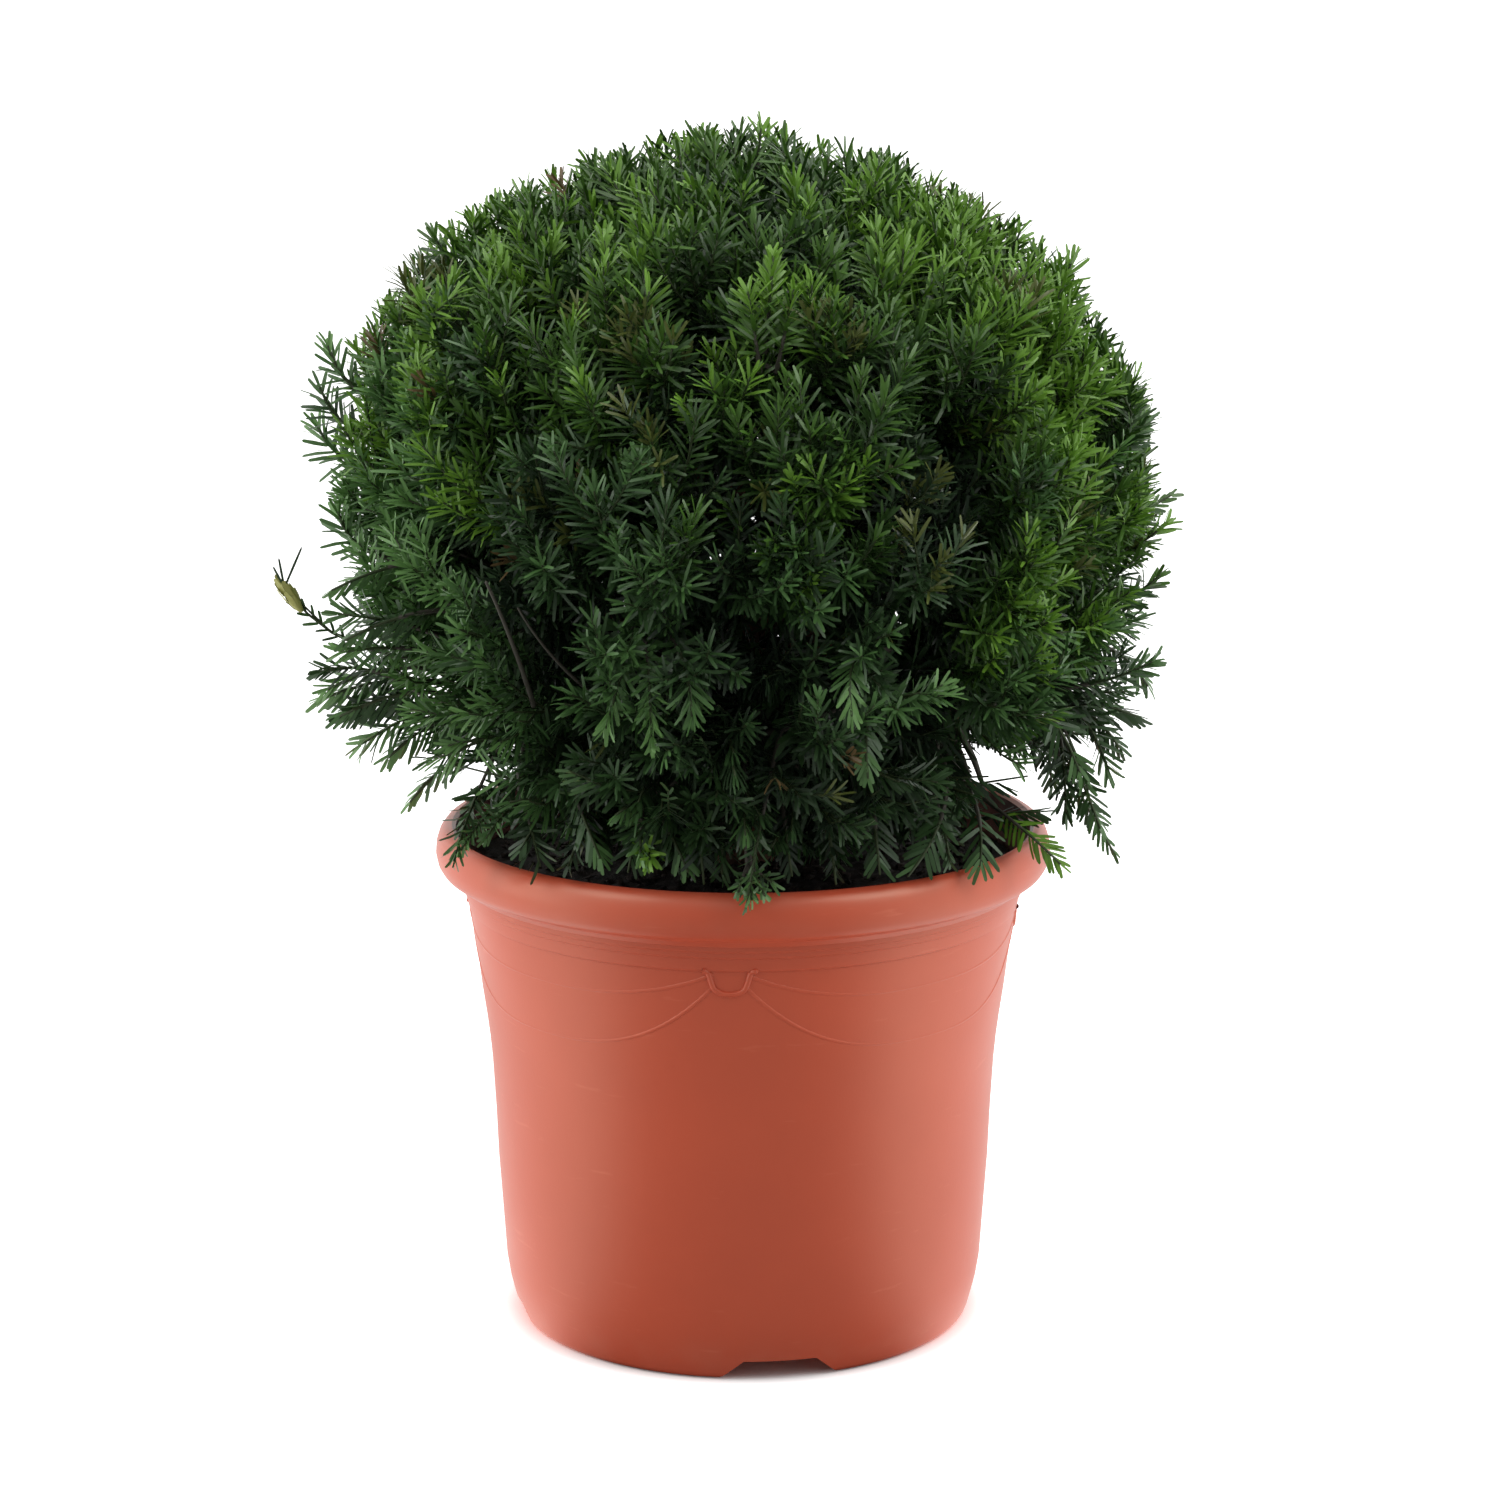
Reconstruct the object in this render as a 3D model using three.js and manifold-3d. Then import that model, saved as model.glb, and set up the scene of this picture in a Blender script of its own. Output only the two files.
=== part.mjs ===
// Potted yew ball: a clipped yew in its terracotta-coloured growing pot.
// Millimetres, +Z up. The origin is the middle of the pot's flat foot, on the floor.
// The front of the plant faces -Y, with +X to the right.
import * as THREE from 'three';
import { mergeVertices } from 'three/addons/utils/BufferGeometryUtils.js';
import Module from 'manifold-3d';

const wasm = await Module();
wasm.setup();

// General values
const GAP = 0.3; // clearance between touching pieces
const CORNER_GAP = 0.37; // the same at the corners of faceted round pieces, so that their flats keep it
const TURN = 2 * Math.PI;
const DEGREE = Math.PI / 180;

// Pot
const POT = {
  footRadius: 112,
  throatRadius: 135,
  throatHeight: 214,
  wall: 2.4,
  segments: 40,
  footHeight: 10,
  footWidth: 11,
  plate: 3,
  cornerRadius: 113,
  drainHoles: 8,
  drainRadius: 6,
  drainRing: 72,
  drainSides: 6,
};
// Outer wall of the pot as [radius, height], from the rounded foot to the collar
const POT_WALL = [[108, 0], [112, 3.5], [118, 28], [123.6, 129], [130.5, 184], [133.8, 204]];
// Rolled rim above the collar, from its tucked underside over the roll to the mouth
const POT_RIM = [[138, 218], [140.5, 223.5], [147, 226.5], [150, 234], [146.5, 245.5], [142, 247]];
// Notches in the foot ring
const NOTCH = { count: 4, turn: -81, floorWidth: 62, topWidth: 35, height: 10 };
// U-shaped knot of the moulded festoon, one every quarter turn below the rim
const KNOT = {
  count: 4,
  turn: -92.6,
  top: 207.5,
  drop: 11,
  width: 15,
  earWidth: 21,
  earDrop: 2.5,
  cornerRise: 3,
  cornerInset: 2,
  footInset: 4.6,
  bar: 3.2,
  proud: 2.4,
  sunk: 1.6,
};

// Potting mix
const MIX = { top: 228, edgeTop: 225, flatRadius: 60 };

// Trunk: its path runs from inside the potting mix to the tip in the crown's top, and it is cut
// flat where it meets the mix
const TRUNK = {
  path: [[-1, 1, 216], [5, -3, 285], [-2, 4, 350], [-4, 2, 415], [1, 0, 466]],
  flare: 17,
  foot: 11.5,
  tip: 4,
  flareLength: 0.06,
  sides: 10,
  steps: 9,
};

// Crown: distance from its centre to its outline as [elevation in degrees, distance]
const CROWN_CENTRE = 400;
const CROWN_FLOOR = 245; // no spray of a band hangs lower than this
const CROWN_REACH = [
  [-90, 156], [-60, 178], [-46, 202], [-36, 211], [-27, 214], [-12, 203], [0, 202],
  [15, 207], [35, 206], [60, 196], [90, 192],
];
// Slow swellings of the outline: [share, azimuth, elevation, spread] in degrees
const CROWN_SWELLS = [
  [0.030, 180, 14, 34], [0.030, 8, 0, 30], [-0.030, 190, -14, 24], [-0.020, 0, 40, 26],
];

// Bands of foliage masses between two elevations, each mass fed by one bough.
// hub is the point [radius, height] where a bough ends and its mass's stem starts.
const BANDS = [
  {
    name: 'skirt', count: 6, turn: 30, low: -60, high: -15, hub: [57, 320], roots: [250, 284],
    rootRadius: 4.6, hubRadius: 3.2, rows: [2, 3, 2],
  },
  {
    name: 'waist', count: 6, turn: 0, low: -15, high: 18, hub: [84, 362], roots: [304, 340],
    rootRadius: 4.6, hubRadius: 3.1, rows: [2, 3, 2],
  },
  {
    name: 'shoulder', count: 5, turn: -90, low: 18, high: 58, hub: [64, 446], roots: [362, 400],
    rootRadius: 4.2, hubRadius: 3, rows: [3, 2, 2],
  },
];
const TOP = { low: 58, sides: 12, rows: [[87, 1], [77, 2], [65, 5]] };
const BOUGH = { sides: 6, steps: 3, arch: 0.4 };
const STEM = { sides: 5, steps: 2, end: 0.7, tipRadius: 2.2 };

// Core of a mass, as shares of the crown's reach, and the clearance to its neighbours in mm
const CORE = { inner: 0.56, outer: 0.82, margin: 2.5, lump: 0.03, floor: 262, columns: 3, rows: 2 };

// Spray of needles: a toothed blade on a slim rib. root is a share of the crown's reach. lift is the
// angle by which a spray leaves its core below its tip. gather draws the roots to the mass's middle.
const SPRAY = {
  root: 0.66,
  rootFloor: 270,
  gather: 0.75,
  jitter: 0.3,
  inset: 0.9,
  thickness: 1.5,
  ribRoot: 2.4,
  ribTip: 1.2,
  teeth: 3,
  toothPitch: 13,
  toothForward: 21,
  toothOut: 15,
  tipTooth: 13,
  lift: 7,
  shortfall: 0.09,
  margin: 1.2,
};

// Loose sprays: three hang over the pot's rim, one is the stray shoot low on the left and one
// stands out on the right. Each leaves its mass's core at [azimuth, elevation] in degrees,
// arches by way of bend and ends at tip.
const LOOSE_SPRAYS = [
  { mass: 'skirt_6', leaves: [348, -28], bend: [168, -34, 296], tip: [182, -38, 240] },
  { mass: 'skirt_5', leaves: [278, -34], bend: [8, -158, 290], tip: [2, -160, 244] },
  { mass: 'skirt_4', leaves: [212, -34], bend: [-134, -90, 290], tip: [-138, -96, 253] },
  { mass: 'skirt_4', leaves: [196, -27], bend: [-190, -55, 334], tip: [-216, -60, 378] },
  { mass: 'waist_1', leaves: [14, -5], bend: [185, 52, 380], tip: [212, 62, 397] },
];
const LOOSE = {
  root: 0.7,
  ribRadius: 2.6,
  tipRadius: 1.1,
  sides: 4,
  steps: 4,
  needles: 5,
  firstNeedle: 0.45,
  needleLength: 22,
  needleWidth: 3.4,
  needleSweep: 1.1,
  needleSunk: 1.5,
};

const SEED = 4127;

// A small seeded generator of numbers from 0 to 1
function seeded(seed) {
  let state = seed >>> 0;
  return () => {
    state = (state + 0x6d2b79f5) >>> 0;
    let mixed = Math.imul(state ^ (state >>> 15), state | 1);
    mixed = (mixed + Math.imul(mixed ^ (mixed >>> 7), mixed | 61)) ^ mixed;
    return ((mixed ^ (mixed >>> 14)) >>> 0) / 4294967296;
  };
}

// A closed three.js geometry as a solid that can be joined and cut
function solid(geometry) {
  const bare = geometry.index ? geometry.toNonIndexed() : geometry.clone();
  for (const name of Object.keys(bare.attributes)) {
    if (name !== 'position') bare.deleteAttribute(name);
  }
  const merged = mergeVertices(bare, 1e-4);
  const points = merged.attributes.position;
  const corners = merged.index.array;
  const kept = [];
  for (let i = 0; i < corners.length; i += 3) {
    const [a, b, c] = [corners[i], corners[i + 1], corners[i + 2]];
    if (a !== b && b !== c && c !== a) kept.push(a, b, c);
  }
  return new wasm.Manifold(new wasm.Mesh({
    numProp: 3,
    vertProperties: new Float32Array(points.array),
    triVerts: new Uint32Array(kept),
  }));
}

// A solid back as a three.js geometry
function shape(manifold) {
  const mesh = manifold.getMesh();
  const geometry = new THREE.BufferGeometry();
  geometry.setAttribute('position', new THREE.BufferAttribute(mesh.vertProperties, 3));
  geometry.setIndex(new THREE.BufferAttribute(mesh.triVerts, 1));
  geometry.computeVertexNormals();
  return geometry;
}

// The largest piece of a solid, without scraps that a cut left loose
function largest(manifold) {
  const pieces = manifold.decompose();
  return pieces.reduce((best, piece) => (piece.volume() > best.volume() ? piece : best));
}

// A round limb along a curve whose radius follows radiusAt(share of the length)
function limb(curve, radiusAt, sides, steps) {
  const geometry = new THREE.CylinderGeometry(1, 1, 1, sides, steps);
  const frames = curve.computeFrenetFrames(steps, false);
  const position = geometry.attributes.position;
  for (let i = 0; i < position.count; i++) {
    const share = THREE.MathUtils.clamp(position.getY(i) + 0.5, 0, 1);
    const step = Math.round(share * steps);
    const radius = radiusAt(share);
    const point = curve.getPointAt(share)
      .addScaledVector(frames.normals[step], position.getX(i) * radius)
      .addScaledVector(frames.binormals[step], -position.getZ(i) * radius);
    position.setXYZ(i, point.x, point.y, point.z);
  }
  return solid(geometry);
}

// A smooth curve through points given as [x, y, z]
function curveThrough(points) {
  return new THREE.CatmullRomCurve3(points.map((point) => new THREE.Vector3(...point)));
}

// Unit direction of an azimuth and elevation in radians
function direction(azimuth, elevation) {
  return new THREE.Vector3(
    Math.cos(elevation) * Math.cos(azimuth),
    Math.cos(elevation) * Math.sin(azimuth),
    Math.sin(elevation),
  );
}

// Smallest angle from one azimuth to another, in radians
function azimuthGap(from, to) {
  return Math.atan2(Math.sin(to - from), Math.cos(to - from));
}

// Distance from the crown's centre to its outline in one direction
function crownReach(azimuth, elevation) {
  const angle = elevation / DEGREE;
  const upper = CROWN_REACH.findIndex((entry) => entry[0] >= angle);
  const [lowAngle, lowReach] = CROWN_REACH[Math.max(upper - 1, 0)];
  const [highAngle, highReach] = CROWN_REACH[upper];
  const share = highAngle > lowAngle ? (angle - lowAngle) / (highAngle - lowAngle) : 0;
  let reach = lowReach + (highReach - lowReach) * share;
  for (const [amount, swellAzimuth, swellElevation, spread] of CROWN_SWELLS) {
    const sideways = azimuthGap(swellAzimuth * DEGREE, azimuth) / DEGREE * Math.cos(elevation);
    const distance = Math.hypot(sideways, angle - swellElevation) / spread;
    reach *= 1 + amount * Math.exp(-distance * distance);
  }
  return reach;
}

// The point at a share of the crown's reach in one direction
function crownPoint(azimuth, elevation, share) {
  const reach = crownReach(azimuth, elevation) * share;
  return direction(azimuth, elevation).multiplyScalar(reach).add(new THREE.Vector3(0, 0, CROWN_CENTRE));
}

// True if a point keeps to a mass's own space, clear of its neighbours, the pot and the potting mix
function inCell(point, cell) {
  const away = point.clone().sub(new THREE.Vector3(0, 0, CROWN_CENTRE));
  const flat = Math.hypot(away.x, away.y);
  const distance = away.length();
  const elevation = Math.asin(away.z / distance);
  const slack = SPRAY.margin / distance;
  if (elevation < cell.low + slack || elevation > cell.high - slack || point.z < CROWN_FLOOR) return false;
  if (cell.halfWidth >= Math.PI) return true;
  const sideways = Math.abs(azimuthGap(cell.azimuth, Math.atan2(away.y, away.x)));
  return sideways < cell.halfWidth && flat * Math.sin(cell.halfWidth - sideways) > SPRAY.margin;
}

// Pot: a turned shell with a rolled rim, a raised base plate and a notched foot ring
function potBody() {
  const inner = POT_WALL.slice(1).map(([radius, height]) => [radius - POT.wall, height]);
  const floor = POT.footHeight + POT.plate;
  const base = [
    [0, POT.footHeight],
    [POT_WALL[0][0] - POT.footWidth, POT.footHeight],
    [POT_WALL[0][0] - POT.footWidth, 0],
  ];
  const inside = inner.filter(([, height]) => height > floor).reverse();
  const throat = [POT.throatRadius, POT.throatHeight];
  const corner = [POT.cornerRadius, floor];
  const profile = [...base, ...POT_WALL, ...POT_RIM, throat, ...inside, corner, [0, floor]];
  const points = profile.map(([radius, height]) => new THREE.Vector2(radius, height));
  return new THREE.LatheGeometry(points, POT.segments).rotateX(Math.PI / 2);
}

// Radius of the pot's outer wall at one height
function wallRadius(height) {
  const above = POT_WALL.findIndex((entry) => entry[1] >= height);
  const upper = above < 1 ? POT_WALL.length - 1 : above;
  const [lowRadius, lowHeight] = POT_WALL[upper - 1];
  const [highRadius, highHeight] = POT_WALL[upper];
  return lowRadius + (highRadius - lowRadius) * (height - lowHeight) / (highHeight - lowHeight);
}

// Knot: a U-shaped tab with flared ears, standing proud of the wall
function knot(azimuth) {
  const halfEar = KNOT.earWidth / 2;
  const halfWidth = KNOT.width / 2;
  const bottom = KNOT.top - KNOT.drop;
  const corner = halfWidth - KNOT.cornerInset;
  const half = [
    [corner - KNOT.bar, bottom + KNOT.bar],
    [halfWidth - KNOT.bar, KNOT.top - KNOT.bar],
    [halfEar, KNOT.top],
    [halfWidth, KNOT.top - KNOT.earDrop],
    [corner, bottom + KNOT.cornerRise],
    [halfWidth - KNOT.footInset, bottom],
  ];
  const mirrored = half.map(([across, height]) => [-across, height]).reverse();
  const corners = [...half, ...mirrored].map(([across, height]) => new THREE.Vector2(across, height));
  const outline = new THREE.Shape(corners);
  const depth = KNOT.proud + KNOT.sunk;
  const tab = new THREE.ExtrudeGeometry(outline, { depth, bevelEnabled: false });
  tab.rotateX(Math.PI / 2);
  tab.rotateZ(azimuth + Math.PI / 2);
  const seat = wallRadius(KNOT.top) - KNOT.sunk;
  const centre = new THREE.Vector3(Math.cos(azimuth), Math.sin(azimuth), 0).multiplyScalar(seat);
  return solid(tab.translate(centre.x, centre.y, 0));
}

// One notch of the foot ring, as the solid that is cut away
function footNotch(azimuth) {
  const outline = new THREE.Shape();
  outline.moveTo(-NOTCH.floorWidth / 2, -1);
  outline.lineTo(NOTCH.floorWidth / 2, -1);
  outline.lineTo(NOTCH.topWidth / 2, NOTCH.height);
  outline.lineTo(-NOTCH.topWidth / 2, NOTCH.height);
  outline.closePath();
  const depth = 3 * POT.footWidth;
  const cut = new THREE.ExtrudeGeometry(outline, { depth, bevelEnabled: false });
  cut.rotateX(Math.PI / 2);
  cut.rotateZ(azimuth + Math.PI / 2);
  const seat = POT.footRadius - 2 * POT.footWidth;
  return solid(cut.translate(seat * Math.cos(azimuth), seat * Math.sin(azimuth), 0));
}

function buildPot() {
  let pot = solid(potBody());
  for (let i = 0; i < KNOT.count; i++) {
    pot = pot.add(knot(KNOT.turn * DEGREE + i * TURN / KNOT.count));
  }
  for (let i = 0; i < NOTCH.count; i++) {
    pot = pot.subtract(footNotch(NOTCH.turn * DEGREE + i * TURN / NOTCH.count));
  }
  for (let i = 0; i < POT.drainHoles; i++) {
    const azimuth = (i + 0.5) * TURN / POT.drainHoles;
    const hole = new THREE.CylinderGeometry(POT.drainRadius, POT.drainRadius, 4 * POT.plate, POT.drainSides);
    hole.rotateX(Math.PI / 2);
    hole.translate(POT.drainRing * Math.cos(azimuth), POT.drainRing * Math.sin(azimuth), POT.footHeight);
    pot = pot.subtract(solid(hole));
  }
  return shape(pot);
}

// Potting mix: fills the pot, a little below the rim, slightly domed
function buildMix() {
  const floor = POT.footHeight + POT.plate + GAP;
  const side = POT_WALL.filter(([, height]) => height > floor)
    .map(([radius, height]) => [radius - POT.wall - CORNER_GAP, height]);
  const profile = [
    [0, floor],
    [POT.cornerRadius - GAP, floor],
    ...side,
    [POT.throatRadius - CORNER_GAP, POT.throatHeight],
    [POT.throatRadius - CORNER_GAP, MIX.edgeTop],
    [MIX.flatRadius, MIX.top],
    [0, MIX.top],
  ];
  const points = profile.map(([radius, height]) => new THREE.Vector2(radius, height));
  return new THREE.LatheGeometry(points, POT.segments).rotateX(Math.PI / 2);
}

// Radius of the trunk at a share of its length, with a root flare at the foot
function trunkRadius(share) {
  const flare = (TRUNK.flare - TRUNK.foot) * Math.exp(-share / TRUNK.flareLength);
  return TRUNK.foot + (TRUNK.tip - TRUNK.foot) * share + flare;
}

const trunkCurve = curveThrough(TRUNK.path);
const belowGround = new THREE.BoxGeometry(8 * TRUNK.flare, 8 * TRUNK.flare, MIX.top)
  .translate(0, 0, MIX.top / 2 + GAP);
const trunkSolid = limb(trunkCurve, trunkRadius, TRUNK.sides, TRUNK.steps).subtract(solid(belowGround));
const trunkClearance = limb(trunkCurve, (share) => trunkRadius(share) + CORNER_GAP, TRUNK.sides, TRUNK.steps);

// The point on the trunk's axis at one height
function trunkAt(height) {
  const foot = TRUNK.path[0][2];
  const tip = TRUNK.path[TRUNK.path.length - 1][2];
  return trunkCurve.getPointAt((height - foot) / (tip - foot));
}

// The masses of every band, each with its space, its hub and the root height of its bough
function listMasses() {
  const masses = [];
  for (const band of BANDS) {
    const width = TURN / band.count;
    for (let i = 0; i < band.count; i++) {
      const azimuth = band.turn * DEGREE + i * width;
      const order = (i * (band.count - 1)) % band.count;
      const [lowRoot, highRoot] = band.roots;
      const staggered = (order % 2) * 0.5 + order / band.count * 0.5;
      masses.push({
        name: `${band.name}_${i + 1}`,
        band,
        azimuth,
        halfWidth: width / 2,
        low: band.low * DEGREE,
        high: band.high * DEGREE,
        hub: new THREE.Vector3(
          band.hub[0] * Math.cos(azimuth),
          band.hub[0] * Math.sin(azimuth),
          band.hub[1],
        ),
        rootHeight: lowRoot + (highRoot - lowRoot) * staggered,
        seed: SEED + masses.length,
      });
    }
  }
  return masses;
}

// Middle of a mass's space as an elevation in radians
function middle(mass) {
  return (mass.low + mass.high) / 2;
}

// Bough: one tapering limb from the trunk to its mass's hub
function buildBough(mass) {
  const root = trunkAt(mass.rootHeight);
  const outward = stemCurve(mass).getTangentAt(0);
  const tip = mass.hub.clone().addScaledVector(outward, -GAP);
  const knee = tip.clone().addScaledVector(outward, -BOUGH.arch * root.distanceTo(tip));
  const curve = new THREE.QuadraticBezierCurve3(root, knee, tip);
  const radiusAt = (share) => mass.band.rootRadius + (mass.band.hubRadius - mass.band.rootRadius) * share;
  return shape(largest(limb(curve, radiusAt, BOUGH.sides, BOUGH.steps).subtract(trunkClearance)));
}

// Path of a mass's stem, from its hub into its core
function stemCurve(mass) {
  const end = crownPoint(mass.azimuth, middle(mass), STEM.end);
  return new THREE.LineCurve3(mass.hub, end);
}

// Core of a mass in a band: a lumpy block of the crown's shell
function bandCore(mass, random) {
  const block = new THREE.BoxGeometry(1, 1, 1, 1, CORE.columns, CORE.rows);
  const lumps = new Map();
  const position = block.attributes.position;
  for (let i = 0; i < position.count; i++) {
    const [outward, across, up] = [position.getX(i) + 0.5, position.getY(i), position.getZ(i) + 0.5];
    const key = `${across.toFixed(3)} ${up.toFixed(3)}`;
    if (!lumps.has(key)) lumps.set(key, 1 + CORE.lump * (2 * random() - 1));
    const share = CORE.inner + (CORE.outer * lumps.get(key) - CORE.inner) * outward;
    const distance = crownReach(mass.azimuth, THREE.MathUtils.lerp(mass.low, mass.high, up)) * share;
    const slack = CORE.margin / distance;
    const elevation = THREE.MathUtils.lerp(mass.low + slack, mass.high - slack, up);
    const halfWidth = mass.halfWidth - CORE.margin / (distance * Math.cos(elevation));
    const point = crownPoint(mass.azimuth + 2 * across * halfWidth, elevation, share);
    position.setXYZ(i, point.x, point.y, Math.max(point.z, CORE.floor));
  }
  return solid(block);
}

// Core of the crown's top: a lumpy lens
function topCore(random) {
  const zenith = Math.PI / 2;
  const slack = CORE.margin / crownReach(0, zenith);
  const edge = TOP.low * DEGREE + slack / CORE.inner;
  const profile = [
    [zenith, CORE.inner], [edge, CORE.inner], [edge, CORE.outer], [(edge + zenith) / 2, CORE.outer],
    [zenith, CORE.outer],
  ];
  const points = profile.map(([elevation, share]) => {
    const reach = crownReach(0, elevation) * share;
    return new THREE.Vector2(reach * Math.cos(elevation), reach * Math.sin(elevation));
  });
  points[0].x = 0;
  points[points.length - 1].x = 0;
  const lens = new THREE.LatheGeometry(points, TOP.sides).rotateX(Math.PI / 2);
  lens.rotateZ(TURN * random());
  return solid(lens.translate(0, 0, CROWN_CENTRE));
}

// Flat outline of a spray's blade along +X, with teeth only where keep(point in the blade) allows
function sprayOutline(length, keep) {
  const firstTooth = length - SPRAY.tipTooth - SPRAY.teeth * SPRAY.toothPitch;
  const ribAt = (along) => THREE.MathUtils.lerp(SPRAY.ribRoot, SPRAY.ribTip, along / length);
  const side = (sign) => {
    const points = [];
    for (let i = 0; i < SPRAY.teeth; i++) {
      const along = firstTooth + i * SPRAY.toothPitch;
      const tip = new THREE.Vector2(along + SPRAY.toothForward, sign * (SPRAY.toothOut + ribAt(along)));
      if (!keep(tip)) continue;
      points.push(new THREE.Vector2(along, sign * ribAt(along)), tip);
    }
    points.push(new THREE.Vector2(length - SPRAY.tipTooth, sign * SPRAY.ribTip));
    return points;
  };
  const right = side(-1);
  const left = side(1).reverse();
  return new THREE.Shape([new THREE.Vector2(0, 0), ...right, new THREE.Vector2(length, 0), ...left]);
}

// Spray: a toothed blade from root to tip, rolled about its own length
function spray(root, tip, roll, cell) {
  const along = tip.clone().sub(root);
  const length = along.length();
  along.normalize();
  const across = new THREE.Vector3().crossVectors(along, new THREE.Vector3(0, 0, 1)).normalize();
  across.applyAxisAngle(along, roll);
  const normal = new THREE.Vector3().crossVectors(along, across);
  const place = new THREE.Matrix4().makeBasis(along, across, normal).setPosition(root);
  const keep = (flat) => inCell(new THREE.Vector3(flat.x, flat.y, 0).applyMatrix4(place), cell);
  const outline = sprayOutline(length, keep);
  const blade = new THREE.ExtrudeGeometry(outline, { depth: SPRAY.thickness, bevelEnabled: false });
  return solid(blade.translate(0, 0, -SPRAY.thickness / 2).applyMatrix4(place));
}

// Seeded aims of a mass's sprays, row by row over its space
function sprayAims(mass, random) {
  const aims = [];
  mass.band.rows.forEach((columns, row) => {
    for (let column = 0; column < columns; column++) {
      const up = (row + 0.5 + SPRAY.jitter * (random() - 0.5)) / mass.band.rows.length;
      const side = (column + 0.5 + SPRAY.jitter * (random() - 0.5)) / columns * 2 - 1;
      const azimuth = mass.azimuth + side * mass.halfWidth * SPRAY.inset;
      aims.push([azimuth, THREE.MathUtils.lerp(mass.low, mass.high, up)]);
    }
  });
  return aims;
}

// One seeded spray of a mass aimed at a direction
function aimedSpray([azimuth, elevation], cell, random) {
  const share = 1 - SPRAY.shortfall * random();
  const tip = crownPoint(azimuth, elevation, share);
  tip.z = Math.max(tip.z, CROWN_FLOOR);
  const inward = cell.azimuth + azimuthGap(cell.azimuth, azimuth) * SPRAY.gather;
  const lowered = Math.max(elevation - SPRAY.lift * DEGREE, cell.low + SPRAY.lift * DEGREE);
  const root = crownPoint(inward, lowered, SPRAY.root);
  root.z = Math.max(root.z, SPRAY.rootFloor);
  return spray(root, tip, Math.PI * random(), cell);
}

// A loose spray: an arching twig with pointed needles on both sides
function looseSpray({ leaves: [azimuth, elevation], bend, tip }) {
  const curve = new THREE.QuadraticBezierCurve3(
    crownPoint(azimuth * DEGREE, elevation * DEGREE, LOOSE.root),
    new THREE.Vector3(...bend),
    new THREE.Vector3(...tip),
  );
  const radiusAt = (share) => THREE.MathUtils.lerp(LOOSE.ribRadius, LOOSE.tipRadius, share);
  let twig = limb(curve, radiusAt, LOOSE.sides, LOOSE.steps);
  for (let i = 0; i < LOOSE.needles; i++) {
    const share = THREE.MathUtils.lerp(LOOSE.firstNeedle, 1, i / LOOSE.needles);
    const along = curve.getTangentAt(share);
    const across = new THREE.Vector3().crossVectors(along, new THREE.Vector3(0, 0, 1)).normalize();
    const out = across.multiplyScalar(i % 2 ? 1 : -1).addScaledVector(along, LOOSE.needleSweep).normalize();
    const needle = new THREE.OctahedronGeometry(1);
    needle.scale(LOOSE.needleLength / 2, LOOSE.needleWidth / 2, 1);
    needle.translate(LOOSE.needleLength / 2 - LOOSE.needleSunk, 0, 0);
    const normal = new THREE.Vector3().crossVectors(out, along).normalize();
    const width = new THREE.Vector3().crossVectors(normal, out);
    const place = new THREE.Matrix4().makeBasis(out, width, normal).setPosition(curve.getPointAt(share));
    twig = twig.add(solid(needle.applyMatrix4(place)));
  }
  return twig;
}

// Foliage mass of a band: stem, core and sprays fused
function buildMass(mass) {
  const random = seeded(mass.seed);
  const stemRadius = (share) => THREE.MathUtils.lerp(mass.band.hubRadius, STEM.tipRadius, share);
  let foliage = limb(stemCurve(mass), stemRadius, STEM.sides, STEM.steps).add(bandCore(mass, random));
  for (const aim of sprayAims(mass, random)) foliage = foliage.add(aimedSpray(aim, mass, random));
  for (const loose of LOOSE_SPRAYS) {
    if (loose.mass === mass.name) foliage = foliage.add(looseSpray(loose));
  }
  return shape(largest(foliage));
}

// Crown's top: the mass on the trunk's tip
function buildTop() {
  const random = seeded(SEED - 1);
  const cell = { azimuth: 0, halfWidth: Math.PI, low: TOP.low * DEGREE, high: Math.PI };
  const upward = trunkCurve.getTangentAt(1);
  const foot = trunkCurve.getPointAt(1).addScaledVector(upward, GAP);
  const end = crownPoint(0, Math.PI / 2, STEM.end);
  const knee = foot.clone().addScaledVector(upward, foot.distanceTo(end) / 2);
  const stem = new THREE.QuadraticBezierCurve3(foot, knee, end);
  const stemRadius = (share) => THREE.MathUtils.lerp(TRUNK.tip, STEM.tipRadius, share);
  let foliage = limb(stem, stemRadius, STEM.sides, STEM.steps).add(topCore(random));
  for (const [elevation, count] of TOP.rows) {
    for (let i = 0; i < count; i++) {
      const azimuth = TURN * (i + 0.3 * random()) / count;
      foliage = foliage.add(aimedSpray([azimuth, elevation * DEGREE], cell, random));
    }
  }
  return shape(largest(foliage));
}

function material(colour, roughness) {
  return new THREE.MeshStandardMaterial({ color: colour, roughness, metalness: 0 });
}

const terracotta = material(0xb8543c, 0.42);
const darkMix = material(0x2a211b, 0.95);
const bark = material(0x5d4334, 0.9);
const needles = material(0x2f5a2a, 0.55);

const plant = new THREE.Group();

function place(name, geometry, look) {
  const mesh = new THREE.Mesh(geometry, look);
  mesh.name = name;
  plant.add(mesh);
}

place('pot', buildPot(), terracotta);
place('potting_mix', buildMix(), darkMix);
place('trunk', shape(trunkSolid), bark);
for (const mass of listMasses()) {
  place(`bough_${mass.name}`, buildBough(mass), bark);
  place(`foliage_${mass.name}`, buildMass(mass), needles);
}
place('foliage_crown_top', buildTop(), needles);

export default plant;
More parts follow.
